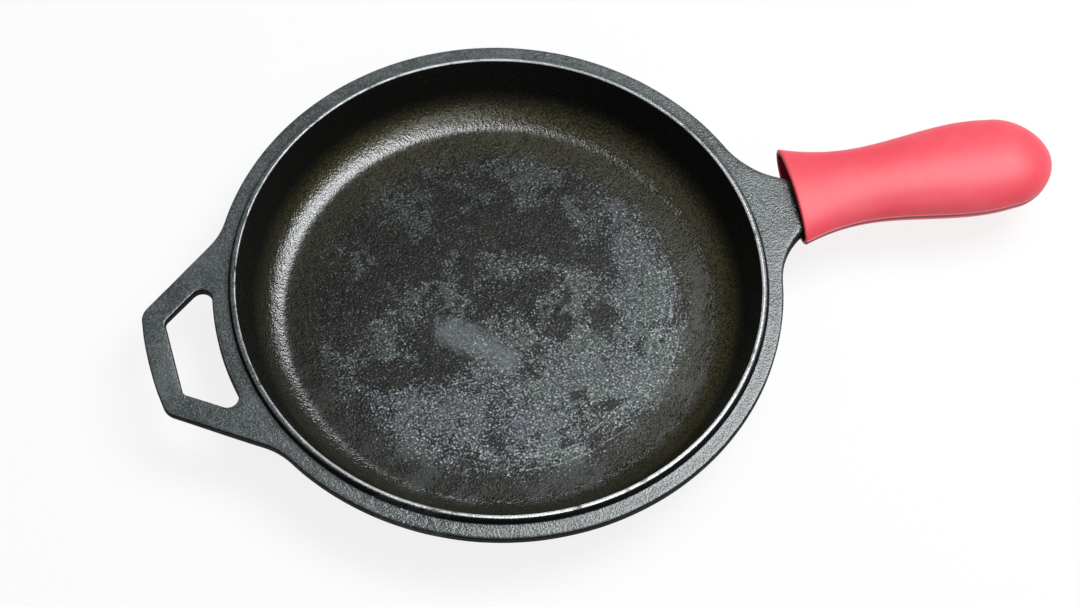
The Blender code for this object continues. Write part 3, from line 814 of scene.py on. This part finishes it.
print("plate thickness at loop, flange and grip in mm:",
      [round((FLANGE_TOP - plate_bottom(x)) / MM, 1) for x in (HELPER_TIP_X, 0.0, GRIP_END_X)])


# %% Helpers for the plan outlines
def rim_to_line_blend(rim_radius, point, direction, radius, away, steps):
    """Arc outside a rim circle and beside a line, touching both, from rim to line."""
    base = point + away * radius
    reach = rim_radius + radius
    along = base.dot(direction)
    root = math.sqrt(along * along - base.dot(base) + reach * reach)
    options = [base + direction * (-along + sign * root) for sign in (1.0, -1.0)]
    centre = min(options, key=lambda spot: (spot - point).length)
    return arc_between(centre, radius, -centre.normalized(), -away, steps)


def mirrored(points):
    """The same points on the other side of the middle line, in reverse."""
    return [Vector((p.x, -p.y)) for p in reversed(points)]


def helper_tip(share):
    """A point on the loop's slightly crowned end; share runs from its middle to its corner."""
    return Vector((HELPER_TIP_X + HELPER_TIP_CROWN * share * share, HELPER_HALF_WIDTH * share))


def wound(loop, counter_clockwise):
    """The loop in the wanted direction."""
    area = sum(a.x * b.y - b.x * a.y for a, b in zip(loop, loop[1:] + loop[:1]))
    return loop if (area > 0.0) == counter_clockwise else list(reversed(loop))


print("corner of the loop's end in mm:", [round(v / MM, 1) for v in helper_tip(1.0)])


# %% The grip's side and the helper loop's side
NOSE_STEPS = 16
BLEND_STEPS = 14
CORNER_AIM = 0.45
TIP_SHARES = (0.55, 0.45, 0.35, 0.25, 0.15, 0.07)


def grip_half_width(x, neck_x):
    """Half width of the grip, which grows from the neck to its widest place."""
    share = smooth((x - neck_x) / (GRIP_WIDEST_X - neck_x))
    return NECK_HALF_WIDTH + (GRIP_HALF_WIDTH - NECK_HALF_WIDTH) * share


def grip_side():
    """From the rim through the neck's blend, along the grip and round half of its nose."""
    neck = rim_to_line_blend(
        FLANGE_RADIUS, Vector((GRIP_END_X, NECK_HALF_WIDTH)), Vector((1.0, 0.0)),
        NECK_BLEND_RADIUS, Vector((0.0, 1.0)), steps=24)
    neck_x = neck[-1].x
    nose_x = GRIP_END_X - GRIP_NOSE_LENGTH
    steps = math.ceil((nose_x - neck_x) / OUTLINE_PITCH)
    stations = [neck_x + (nose_x - neck_x) * k / steps for k in range(1, steps)]
    side = [Vector((x, grip_half_width(x, neck_x))) for x in stations]
    nose = []
    for k in range(NOSE_STEPS):
        a = math.pi / 2.0 * k / NOSE_STEPS
        nose_half = grip_half_width(nose_x, neck_x) * math.cos(a)
        nose.append(Vector((nose_x + GRIP_NOSE_LENGTH * math.sin(a), nose_half)))
    return neck + side + nose


def helper_side():
    """From the rim through the loop's blend, along its side and round to near its middle."""
    slope = Vector((-math.cos(HELPER_SIDE_ANGLE), -math.sin(HELPER_SIDE_ANGLE)))
    away = Vector((-math.sin(HELPER_SIDE_ANGLE), math.cos(HELPER_SIDE_ANGLE)))
    sharp = helper_tip(1.0)
    blend = rim_to_line_blend(FLANGE_RADIUS, sharp, slope, HELPER_BLEND_RADIUS, away, BLEND_STEPS)
    corner = corner_arc(blend[-1], sharp, helper_tip(CORNER_AIM), HELPER_CORNER_RADIUS, steps=12)
    tip = [helper_tip(share) for share in TIP_SHARES]
    return subdivided(blend + corner + tip, OUTLINE_PITCH)


print("points along the two sides:", len(grip_side()), len(helper_side()))


# %% Outline of the flange, neck, grip and helper loop
RIM_ARC_STEP = math.radians(1.0)


def plate_outline():
    """One closed line, counter-clockwise from the upper side of the grip's nose."""
    grip = grip_side()
    helper = helper_side()
    start = math.atan2(grip[0].y, grip[0].x)
    end = math.atan2(helper[0].y, helper[0].x)
    rim = arc(Vector((0.0, 0.0)), FLANGE_RADIUS, start, end, round((end - start) / RIM_ARC_STEP))
    upper = grip[::-1] + rim[1:-1] + helper
    return upper + [helper_tip(0.0)] + mirrored(upper) + [Vector((GRIP_END_X, 0.0))]


print("points in the plate's outline:", len(plate_outline()))


# %% Outlines of the finger hole and the hang eye
def finger_hole_outline():
    """The loop's hole: its sides and tip lie one bar width inside the outline."""
    slope = Vector((math.cos(HELPER_SIDE_ANGLE), math.sin(HELPER_SIDE_ANGLE)))
    into_hole = Vector((math.sin(HELPER_SIDE_ANGLE), -math.cos(HELPER_SIDE_ANGLE)))
    tip_x = HELPER_TIP_X + HELPER_BAR
    setback = tip_x - helper_tip(1.0).x
    drop = (HELPER_BAR - setback * slope.y) / slope.x
    corner = Vector((tip_x, HELPER_HALF_WIDTH - drop))
    radius = FLANGE_RADIUS + HOLE_GAP
    blend = rim_to_line_blend(radius, corner, slope, HOLE_BLEND_RADIUS, into_hole, BLEND_STEPS)
    rim_end = math.atan2(blend[0].y, blend[0].x)
    inner = arc(Vector((0.0, 0.0)), radius, math.pi, rim_end, BLEND_STEPS)
    outer = corner_arc(blend[-1], corner, Vector((tip_x, 0.0)), HOLE_CORNER_RADIUS, steps=8)
    half = subdivided(inner[1:-1] + blend + outer, OUTLINE_PITCH)
    return [inner[0]] + half + [Vector((tip_x, 0.0))] + mirrored(half)


def hang_eye_outline():
    """Teardrop eye near the end of the grip, hidden while the sleeve is on."""
    lean = math.acos((EYE_WIDE_RADIUS - EYE_NARROW_RADIUS) / (EYE_WIDE_X - EYE_NARROW_X))
    wide = arc(Vector((EYE_WIDE_X, 0.0)), EYE_WIDE_RADIUS, math.pi - lean, lean - math.pi, steps=24)
    narrow = arc(
        Vector((EYE_NARROW_X, 0.0)), EYE_NARROW_RADIUS, math.pi + lean, math.pi - lean, steps=14)
    return wide + narrow


print("points in the eye's outline:", len(hang_eye_outline()))


# %% Rounded edges along an outline
ROUND_STEPS = 6
LEAST_MITRE = 0.5


def inward_normals(loop):
    """For each point, the way into the plate, longer at a sharp corner."""
    normals = []
    for k, spot in enumerate(loop):
        before = (spot - loop[k - 1]).normalized()
        after = (loop[(k + 1) % len(loop)] - spot).normalized()
        run = (before + after).normalized()
        normals.append(Vector((-run.y, run.x)) / max(run.dot(after), LEAST_MITRE))
    return normals


def edge_rings(mesh, loop):
    """Rings of the plate's side along one outline, from the top face to the bottom face."""
    rings = []
    normals = inward_normals(loop)
    angles = [math.pi / 2.0 * k / ROUND_STEPS for k in range(ROUND_STEPS + 1)]
    levels = [(True, a) for a in angles] + [(False, a) for a in reversed(angles)]
    for is_top, a in levels:
        ring = []
        for point, normal in zip(loop, normals):
            size = plate_rounding(point.x)
            spot = point + normal * size * (1.0 - math.sin(a))
            drop = size * (1.0 - math.cos(a))
            height = FLANGE_TOP - drop if is_top else plate_bottom(point.x) + drop
            ring.append(mesh.verts.new((spot.x, spot.y, height)))
        rings.append(ring)
    for first, second in zip(rings, rings[1:]):
        for k in range(len(loop)):
            n = (k + 1) % len(loop)
            mesh.faces.new((first[k], first[n], second[n], second[k]))
    return rings[0], rings[-1]


print("rings on a plate's edge:", 2 * ROUND_STEPS + 2)


# %% Flat faces between the outlines
FILL_PITCH = 2.4 * MM
FIRST_ROW, SECOND_ROW = 2.0 * MM, 4.1 * MM
SPARE_LANES = 5
GRID_ON_LOOP, GRID_ON_NECK = -0.96 * FLANGE_RADIUS, 0.97 * FLANGE_RADIUS
ROW_GAP, EDGE_GAP = 0.7 * FILL_PITCH, 0.45 * FILL_PITCH


def inside_loop(point, loop):
    """Whether a point is inside a loop, by counting the sides beyond it."""
    hit = False
    for a, b in zip(loop, loop[1:] + loop[:1]):
        if (a.y > point.y) != (b.y > point.y):
            if point.x < a.x + (b.x - a.x) * (point.y - a.y) / (b.y - a.y):
                hit = not hit
    return hit


def loop_distance(point, loop):
    """Distance to the nearest side of a loop."""
    best = 1.0
    for a, b in zip(loop, loop[1:] + loop[:1]):
        along = min(max((point - a).dot(b - a) / (b - a).length_squared, 0.0), 1.0)
        best = min(best, (point - a.lerp(b, along)).length)
    return best


def filling_points(loops, rim_radius):
    """Rows round the flange, and a square grid over the loop, the neck and the grip.

    The last loop is the bore for the bowl, and the others have rounded edges.
    """
    spots = []
    rows = [rim_radius + FIRST_ROW, rim_radius + SECOND_ROW]
    for row, radius in enumerate(rows):
        for k in range(TURN_STEPS):
            turn = 2.0 * math.pi * (k + 0.5 * (row % 2)) / TURN_STEPS
            spots.append(Vector((radius * math.cos(turn), radius * math.sin(turn))))
    lanes = int(HELPER_HALF_WIDTH / FILL_PITCH) + SPARE_LANES
    for low, high in ((HELPER_TIP_X, GRID_ON_LOOP), (GRID_ON_NECK, GRIP_END_X)):
        for i in range(int((high - low) / FILL_PITCH)):
            for j in range(-lanes, lanes + 1):
                spot = Vector((low + FILL_PITCH * (i + 0.5), FILL_PITCH * j))
                if spot.length > rows[-1] + ROW_GAP:
                    spots.append(spot)
    kept = []
    rounded_edges = loops[:-1]
    for spot in spots:
        if sum(inside_loop(spot, loop) for loop in loops) == 1:
            if min(loop_distance(spot, loop) for loop in rounded_edges) > EDGE_GAP:
                kept.append(spot)
    return kept


print("pitch of the filling points in mm:", FILL_PITCH / MM)


# %% Filling a face with triangles
FILL_TOLERANCE = 1.0e-9
SLIVER_AREA = 0.001 * MM * MM


def fill(mesh, rings, spots, height, upward):
    """Triangles between the rings, through the filling points."""
    verts = [v for ring in rings for v in ring]
    flat = [Vector((v.co.x, v.co.y)) for v in verts]
    loops = []
    edges = []
    for ring in rings:
        base = sum(len(loop) for loop in loops)
        loops.append(flat[base:base + len(ring)])
        edges += [(base + k, base + (k + 1) % len(ring)) for k in range(len(ring))]
    for spot in spots:
        verts.append(mesh.verts.new((spot.x, spot.y, height(spot.x))))
        flat.append(spot)
    places, _, triangles, sources, _, _ = delaunay_2d_cdt(flat, edges, [], 0, FILL_TOLERANCE)
    for triangle in triangles:
        a, b, c = (places[k] for k in triangle)
        middle = (a + b + c) / 3.0
        is_sliver = abs((b - a).cross(c - a)) / 2.0 < SLIVER_AREA
        if not is_sliver and sum(inside_loop(middle, loop) for loop in loops) == 1:
            face = mesh.faces.new([verts[sources[k][0]] for k in triangle])
            face.normal_update()
            if (face.normal.z > 0.0) != upward:
                face.normal_flip()


print("triangles below this area in mm2 are left out:", SLIVER_AREA / MM / MM)


# %% Join the bowl and the plate into one casting
INSIDE_END = BOWL_MOUTH_RADIUS + 0.66 * LIP_ROUNDING


def count_open_edges(mesh):
    """Edges without exactly two faces; a closed piece has none."""
    return sum(len(edge.link_faces) != 2 for edge in mesh.edges)


def level_web(mesh, web_radius):
    """Moves the outer wall's top edge to the underside, which is lower towards the grip."""
    moved = 0
    for vert in mesh.verts:
        on_web = abs(math.hypot(vert.co.x, vert.co.y) - web_radius) < MERGE_DISTANCE
        if on_web and vert.co.z > FLANGE_TOP / 2.0:
            vert.co.z = plate_bottom(vert.co.x)
            moved += 1
    print("points moved to the underside:", moved)


def build_casting():
    """The turned bowl and the plate, joined where they meet."""
    inner = inner_profile()
    outer = outer_profile()
    inner_marks = [1.0 if p.x < INSIDE_END else 0.0 for p in inner]
    mesh = bmesh.new()
    mesh.verts.layers.float.new("inside")
    mesh.from_mesh(turned("bowl inside", bowl_tree, inner, inner_marks, iron))
    mesh.from_mesh(turned("bowl outside", bowl_tree, outer, [0.0] * len(outer), iron))
    web_radius = outer[0].x
    level_web(mesh, web_radius)
    outline = edge_rings(mesh, wound(plate_outline(), True))
    holes = [edge_rings(mesh, wound(finger_hole_outline(), False))]
    holes.append(edge_rings(mesh, wound(hang_eye_outline(), False)))
    for side, radius, height in ((0, inner[-1].x, plate_top), (1, web_radius, plate_bottom)):
        circle = arc(Vector((0.0, 0.0)), radius, 0.0, 2.0 * math.pi, TURN_STEPS)[:-1]
        bore = [mesh.verts.new((p.x, p.y, height(p.x))) for p in circle]
        rings = [outline[side]] + [hole[side] for hole in holes] + [bore]
        loops = [[Vector((v.co.x, v.co.y)) for v in ring] for ring in rings]
        fill(mesh, rings, filling_points(loops, radius), height, upward=side == 0)
    bmesh.ops.remove_doubles(mesh, verts=mesh.verts, dist=2.0 * MERGE_DISTANCE)
    bmesh.ops.recalc_face_normals(mesh, faces=mesh.faces)
    joined = bpy.data.meshes.new("skillet")
    mesh.to_mesh(joined)
    print("casting faces:", len(mesh.faces), "open edges:", count_open_edges(mesh))
    mesh.free()
    return joined


plain_casting = build_casting()

# %% [markdown]
# ## The cast surface
#
# Sand casting never gives a perfect surface: faces swell and dip by a tenth of a millimetre
# over a centimetre or two, which shows where light glances off them. A second tree moves each
# point inwards by a noise of that size. The points only move inwards, so the piece stays
# inside its CAD box.


# %% Uneven casting by Geometry Nodes
CAST_DEPTH = 0.22 * MM
CAST_PATCH = 14.0 * MM
CAST_SEED = 3.0


def cast_skin_tree():
    """Moves each point inwards by a seeded noise."""
    tree, given = new_shape_tree("cast skin", {
        "Depth": float, "Patch size": float, "Seed": float, "Finish": bpy.types.Material})
    place = add_node(tree, "GeometryNodeInputPosition")
    scale = given["Patch size"].calc('POWER', -1.0)
    wave = add_node(tree, "ShaderNodeTexNoise", {
        "Vector": place, "W": given["Seed"], "Scale": scale, "Detail": 2.0}, noise_dimensions='4D')
    normal = add_node(tree, "GeometryNodeInputNormal")
    amount = Field(tree, wave.outputs["Fac"]) * given["Depth"] * -1.0
    push = add_node(tree, "ShaderNodeVectorMath", {0: normal, "Scale": amount}, operation='SCALE')
    moved = add_node(tree, "GeometryNodeSetPosition", {"Geometry": given["Geometry"], "Offset": push})
    close_shape_tree(tree, moved, given["Finish"])
    return tree


cast_skin = cast_skin_tree()
print("cast skin nodes:", len(cast_skin.nodes))


# %% The finished casting
def finished_piece(name, mesh):
    """A piece at the origin, smooth shaded, with its place in its mesh."""
    piece = bpy.data.objects.new(name, mesh)
    bpy.context.collection.objects.link(piece)
    for face in mesh.polygons:
        face.use_smooth = True
    mesh.calc_loop_triangles()
    print(name, "triangles:", len(mesh.loop_triangles))
    return piece


cast_mesh = run_shape_tree(plain_casting, cast_skin, {
    "Depth": CAST_DEPTH, "Patch size": CAST_PATCH, "Seed": CAST_SEED, "Finish": iron})
casting = finished_piece("iron_casting", cast_mesh)
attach(casting, "skillet")
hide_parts("skillet_casting")

# %% [markdown]
# ## The silicone finish
#
# The sleeve is moulded silicone rubber: an even red with a soft, slightly dusty sheen. Its colour
# could be one flat value, but silicone picks up dust and goes paler in soft clouds, so two reds
# are mixed by a noise. A very fine grain in the relief breaks up the highlight, as the mould's
# blasted surface does. The parting line is a painted highlight, a pale edge, over painted shade,
# a dark band, both found by height alone, and the inside of the tube, which little light reaches,
# is painted a deeper red as shade.


# %% Red silicone
SLEEVE_RED = (0.89, 0.080, 0.112)
SLEEVE_DUSTY = (0.90, 0.118, 0.150)
# The deep red is painted shade below the parting line, the inside red is painted shade in the tube, and
# the pale pink is a painted highlight along the seam.
SLEEVE_SHADE_RED = (0.30, 0.012, 0.024)
SLEEVE_INSIDE = (0.50, 0.016, 0.038)
SLEEVE_HIGHLIGHT_PINK = (0.93, 0.36, 0.40)
SLEEVE_AXIS_HEIGHT = 30.8 * MM
PARTING_RISE = 1.5 * MM
PARTING_LINE = SLEEVE_AXIS_HEIGHT + PARTING_RISE
RUBBER_GRAIN = 0.45 * MM
RUBBER_CLOUD = 22.0 * MM
RUBBER_RELIEF = 0.025 * MM
# Heights of the painted shade band and of the painted highlight edge, from the parting line.
BAND_FADES, BAND_STARTS, BAND_FULL, BAND_ENDS = -2.6 * MM, -1.7 * MM, -0.40 * MM, -0.10 * MM
PALE_STARTS, PALE_FULL, PALE_FADES, PALE_ENDS = -0.20 * MM, 0.0, 0.35 * MM, 0.60 * MM
BAND_STRENGTH, PALE_STRENGTH = 0.95, 0.6


def parting_line_shade_and_highlight(tree, place):
    """Painted shade in a dark band below the mould's parting line, and a painted highlight in a pale
    edge along it.
    """
    level = split(tree, place)[2] - PARTING_LINE
    band = level.ramp(BAND_FADES, BAND_STARTS) * level.ramp(BAND_FULL, BAND_ENDS).flipped()
    edge = level.ramp(PALE_STARTS, PALE_FULL) * level.ramp(PALE_FADES, PALE_ENDS).flipped()
    return band * BAND_STRENGTH, edge * PALE_STRENGTH


def red_silicone():
    """Two reds in soft clouds, painted shade and a painted highlight at the parting line, and the
    inside painted a deeper red as shade.
    """
    finish, tree, shader, place, inside = new_finish("red_silicone")
    fine = noise(tree, place, RUBBER_GRAIN)
    cloud = noise(tree, place, RUBBER_CLOUD, detail=4.0, rough=0.6)
    colour = tint(tree, (cloud * 0.7 + fine * 0.3).ramp(0.4, 0.75), SLEEVE_RED, SLEEVE_DUSTY)
    band, edge = parting_line_shade_and_highlight(tree, place)
    # Painted shade below the seam, then a painted highlight along it.
    colour = tint(tree, band, colour, SLEEVE_SHADE_RED)
    colour = tint(tree, edge, colour, SLEEVE_HIGHLIGHT_PINK)
    # The inside is painted a deeper red as shade.
    plug(tree, tint(tree, inside, colour, SLEEVE_INSIDE), shader.inputs["Base Color"])
    plug(tree, fine * 0.08 + cloud * 0.10 + 0.37, shader.inputs["Roughness"])
    plug(tree, bumped(tree, fine, RUBBER_RELIEF), shader.inputs["Normal"])
    return finish


silicone = red_silicone()
print("silicone finish nodes:", len(silicone.node_tree.nodes))

# %% [markdown]
# ## The sleeve: oval rings along the grip
#
# The sleeve is a moulded tube, open at the pan's end and closed and rounded at the tail. Every
# section across it is an oval, so it can be lofted: each ring has a station, a half width and a
# half height, and the rings run from the closed end of the inside, out over the mouth's rim, and
# back to the tail. The mould's parting line is a fine raised seam round the sides.

# %% Sleeve sizes
SLEEVE_LENGTH = 139.1 * MM
TAIL_LENGTH = 27.3 * MM
TAIL_POWER = 1.82
SLEEVE_WALL = 2.3 * MM
SLEEVE_TAIL_WALL = 3.0 * MM
WAIST_AT = 37.0 * MM
BULGE_AT = 97.0 * MM
SLEEVE_BODY = SLEEVE_LENGTH - TAIL_LENGTH
MOUTH_HALF_WIDTH = 28.75 * MM
WAIST_HALF_WIDTH = 21.7 * MM
BULGE_HALF_WIDTH = 27.3 * MM
TAIL_NARROWING = 1.2 * MM
MOUTH_HALF_HEIGHT = 10.3 * MM
BULGE_HALF_HEIGHT = 14.35 * MM
RIM_ROUNDING = 1.05 * MM
SLEEVE_MOUTH = Vector((156.0 * MM, 5.6 * MM, SLEEVE_AXIS_HEIGHT))
SLEEVE_TURN = math.radians(-5.57)


def sleeve_half_width(s):
    """Half width at a station: flared mouth, waist, then the bulge that fills the palm."""
    if s < WAIST_AT:
        flare = (1.0 - s / WAIST_AT) ** 2
        return WAIST_HALF_WIDTH + (MOUTH_HALF_WIDTH - WAIST_HALF_WIDTH) * flare
    if s < BULGE_AT:
        share = smooth((s - WAIST_AT) / (BULGE_AT - WAIST_AT))
        return WAIST_HALF_WIDTH + (BULGE_HALF_WIDTH - WAIST_HALF_WIDTH) * share
    towards_tail = min((s - BULGE_AT) / (SLEEVE_BODY - BULGE_AT), 1.0)
    return BULGE_HALF_WIDTH - TAIL_NARROWING * towards_tail ** 2


def sleeve_half_height(s):
    """Half height at a station: low at the mouth, full at the bulge and beyond."""
    return MOUTH_HALF_HEIGHT + (BULGE_HALF_HEIGHT - MOUTH_HALF_HEIGHT) * smooth(s / BULGE_AT)


print("sleeve widths at mouth, waist and bulge in mm:",
      [round(2.0 * sleeve_half_width(s) / MM, 1) for s in (0.0, WAIST_AT, BULGE_AT)])


# %% Rings of the inside, the rim and the outside
BODY_STEPS = 56
TAIL_STEPS = 24
RIM_STEPS = 6


def shell_rings(wall, tail_wall):
    """Rings from the rim to the tail's tip, each with its station, half width and half height."""
    rings = []
    for k in range(BODY_STEPS + 1):
        s = RIM_ROUNDING + (SLEEVE_BODY - RIM_ROUNDING) * k / BODY_STEPS
        rings.append((s, sleeve_half_width(s) - wall, sleeve_half_height(s) - wall))
    _, wide, high = rings[-1]
    for k in range(1, TAIL_STEPS + 1):
        t = math.sin(math.pi / 2.0 * k / TAIL_STEPS)
        share = max(1.0 - t ** TAIL_POWER, 0.0) ** (1.0 / TAIL_POWER)
        rings.append((SLEEVE_BODY + (TAIL_LENGTH - tail_wall) * t, wide * share, high * share))
    return rings


def rim_rings(edge, sign):
    """A quarter round from a shell's first ring to the front of the rim."""
    _, wide, high = edge
    rings = []
    for k in range(1, RIM_STEPS + 1):
        a = math.pi / 2.0 * k / RIM_STEPS
        inset = sign * RIM_ROUNDING * (1.0 - math.cos(a))
        rings.append((RIM_ROUNDING * (1.0 - math.sin(a)), wide + inset, high + inset))
    return rings


def sleeve_rings():
    """All rings in order, with a mark of 1 on those of the inside."""
    outer = shell_rings(0.0, 0.0)
    inner = shell_rings(SLEEVE_WALL, SLEEVE_TAIL_WALL)
    rim = rim_rings(inner[0], 1.0) + rim_rings(outer[0], -1.0)[::-1]
    rings = inner[::-1] + rim + outer
    inside_count = len(inner) + 1
    return rings, [1.0] * inside_count + [0.0] * (len(rings) - inside_count)


print("rings along the sleeve:", len(sleeve_rings()[0]))


# %% The tree that lofts the rings
SLEEVE_STEPS = 216
SEAM_HEIGHT = 0.30 * MM
SEAM_WIDTH = 0.45 * MM
SEAM_FADES_BELOW = 12.0 * MM


def lofting_tree():
    """Sweeps ovals along the grip and raises a fine bead round the outside at the seam's height."""
    tree, given = new_shape_tree("lofted sleeve", {
        "Steps around": int, "Seam rise": float, "Seam height": float, "Seam width": float,
        "Finish": bpy.types.Material})
    grid, turn, (station, wide, high), inside = swept_grid(tree, given)
    level = high * turn.calc('SINE')
    off_seam = (level - given["Seam rise"]) / given["Seam width"]
    bead = (off_seam * off_seam * -1.0).calc('EXPONENT') * given["Seam height"]
    width = wide + bead * inside.flipped() * wide.ramp(0.0, SEAM_FADES_BELOW)
    place = combine(tree, station, width * turn.calc('COSINE'), level)
    close_swept_tree(tree, grid, place, inside, given["Finish"])
    return tree


sleeve_tree = lofting_tree()
print("lofting tree nodes:", len(sleeve_tree.nodes))


# %% Build the sleeve
def build_sleeve():
    """The lofted tube, turned and moved onto the grip."""
    rings, marks = sleeve_rings()
    mesh = run_shape_tree(polyline("sleeve rings", rings, marks), sleeve_tree, {
        "Steps around": SLEEVE_STEPS, "Seam rise": PARTING_RISE, "Seam height": SEAM_HEIGHT,
        "Seam width": SEAM_WIDTH, "Finish": silicone})
    shell = bmesh.new()
    shell.from_mesh(mesh)
    bmesh.ops.recalc_face_normals(shell, faces=shell.faces)
    shell.transform(Matrix.Translation(SLEEVE_MOUTH) @ Matrix.Rotation(SLEEVE_TURN, 4, 'Z'))
    print("sleeve open edges:", count_open_edges(shell))
    shell.to_mesh(mesh)
    shell.free()
    return mesh


sleeve = finished_piece("silicone_sleeve", build_sleeve())
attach(sleeve, "sleeve")
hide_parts("handle_sleeve")

# %% [markdown]
# ## The table
#
# The pan lies on a white table. A white surface lit as brightly as the pan would render grey,
# and more light would wash out the iron. So part of what the camera sees of the table is plain
# white, by Light Path's Is Camera Ray, and the rest is a real surface that takes the shadow.


# %% Table
TABLE_WHITENESS = 0.85
TABLE_GREY = (0.92, 0.92, 0.92, 1.0)
TABLE_ROUGHNESS = 0.9
TABLE_HALF = 8.0
TABLE_GAP = 0.1 * MM
TABLE_CORNERS = ((-1, -1), (1, -1), (1, 1), (-1, 1))


def white_table_finish():
    """A pale matt surface, most of which is plain white to the camera."""
    finish, tree, shader = new_material("white_table")
    shader.inputs["Base Color"].default_value = TABLE_GREY
    shader.inputs["Roughness"].default_value = TABLE_ROUGHNESS
    shader.inputs["Specular IOR Level"].default_value = 0.0
    rays = add_node(tree, "ShaderNodeLightPath")
    seen = Field(tree, rays.outputs["Is Camera Ray"])
    for kind in ("Is Glossy Ray", "Is Transmission Ray"):
        seen = seen.calc('MAXIMUM', rays.outputs[kind])
    white = add_node(tree, "ShaderNodeEmission", {"Color": (1.0, 1.0, 1.0, 1.0), "Strength": 1.0})
    mixed = add_node(tree, "ShaderNodeMixShader", {0: seen * TABLE_WHITENESS, 1: shader, 2: white})
    plug(tree, mixed, tree.nodes["Material Output"].inputs["Surface"])
    return finish


def build_table():
    """A wide square just below the pan."""
    mesh = bpy.data.meshes.new("table")
    corners = [(x * TABLE_HALF, y * TABLE_HALF, -TABLE_GAP) for x, y in TABLE_CORNERS]
    mesh.from_pydata(corners, [], [(0, 1, 2, 3)])
    mesh.materials.append(white_table_finish())
    table = bpy.data.objects.new("table", mesh)
    bpy.context.collection.objects.link(table)
    return table


print("table width in m:", build_table().dimensions.x)

# %% [markdown]
# ## The lights
#
# A studio lights glossy black iron with large soft boxes, because the iron shows their
# reflections more than its own colour. The right softbox is the main light: its reflection is
# the bright arc in the far left corner of the bowl, and it is slightly cool, as daylight is. The
# overhead softbox shines along the rim plate towards the camera, the near softbox lights the
# near side of the sleeve, and the left one brightens the loop. These three weaker lamps and a
# weak world keep every side readable.


# %% Lights
WORLD_STRENGTH = 0.08
PLAIN_WHITE = (1.0, 1.0, 1.0)
COOL_WHITE = (0.945, 0.985, 1.0)


def soft_light(name, azimuth, elevation, distance, size, power, colour=PLAIN_WHITE):
    """An area light aimed at the pan. Azimuth 0 is +X, along the handle, and 90 is the far side."""
    lamp = bpy.data.lights.new(name, 'AREA')
    lamp.shape = 'RECTANGLE'
    lamp.size, lamp.size_y = size
    lamp.energy = power
    lamp.color = colour
    made = bpy.data.objects.new(name, lamp)
    a, e = math.radians(azimuth), math.radians(elevation)
    direction = Vector((math.cos(e) * math.cos(a), math.cos(e) * math.sin(a), math.sin(e)))
    made.location = direction * distance
    made.rotation_euler = direction.to_track_quat('Z', 'Y').to_euler()
    bpy.context.collection.objects.link(made)
    print(name, "in W:", power)


soft_light("right softbox", azimuth=8.0, elevation=61.0, distance=1.6, size=(0.88, 0.95),
           power=23.4, colour=COOL_WHITE)
soft_light("overhead softbox", azimuth=58.0, elevation=66.0, distance=1.7, size=(0.32, 0.5), power=3.1)
soft_light("near softbox", azimuth=-75.0, elevation=50.0, distance=1.7, size=(0.6, 0.6), power=3.0)
soft_light("left softbox", azimuth=165.0, elevation=48.0, distance=1.7, size=(1.0, 1.0), power=1.2)
world = bpy.data.worlds.new("studio")
bpy.context.scene.world = world
world.use_nodes = True
background = world.node_tree.nodes["Background"]
background.inputs["Color"].default_value = (*PLAIN_WHITE, 1.0)
background.inputs["Strength"].default_value = WORLD_STRENGTH

# %% [markdown]
# ## The camera
#
# The camera stands where the photograph's perspective puts it: the place, the turn and the focal
# length are those at which the rim, the loop and the sleeve of the CAD model cover the real ones.

# %% Camera
FOCAL_LENGTH = 68.333
SENSOR_WIDTH = 36.0
CAMERA_PLACE = (-0.16532, -0.48616, 0.90109)
CAMERA_TURN = (29.87370, -2.12391, -17.39208)
lens = bpy.data.cameras.new("camera")
lens.lens = FOCAL_LENGTH
lens.sensor_width = SENSOR_WIDTH
lens.sensor_fit = 'HORIZONTAL'
lens.clip_start = 0.01
lens.clip_end = 100.0
camera = bpy.data.objects.new("camera", lens)
camera.location = CAMERA_PLACE
camera.rotation_euler = Euler([math.radians(a) for a in CAMERA_TURN], 'XYZ')
bpy.context.collection.objects.link(camera)
bpy.context.scene.camera = camera
bpy.context.scene.view_settings.view_transform = 'Standard'
print("camera height in mm:", round(camera.location.z / MM))
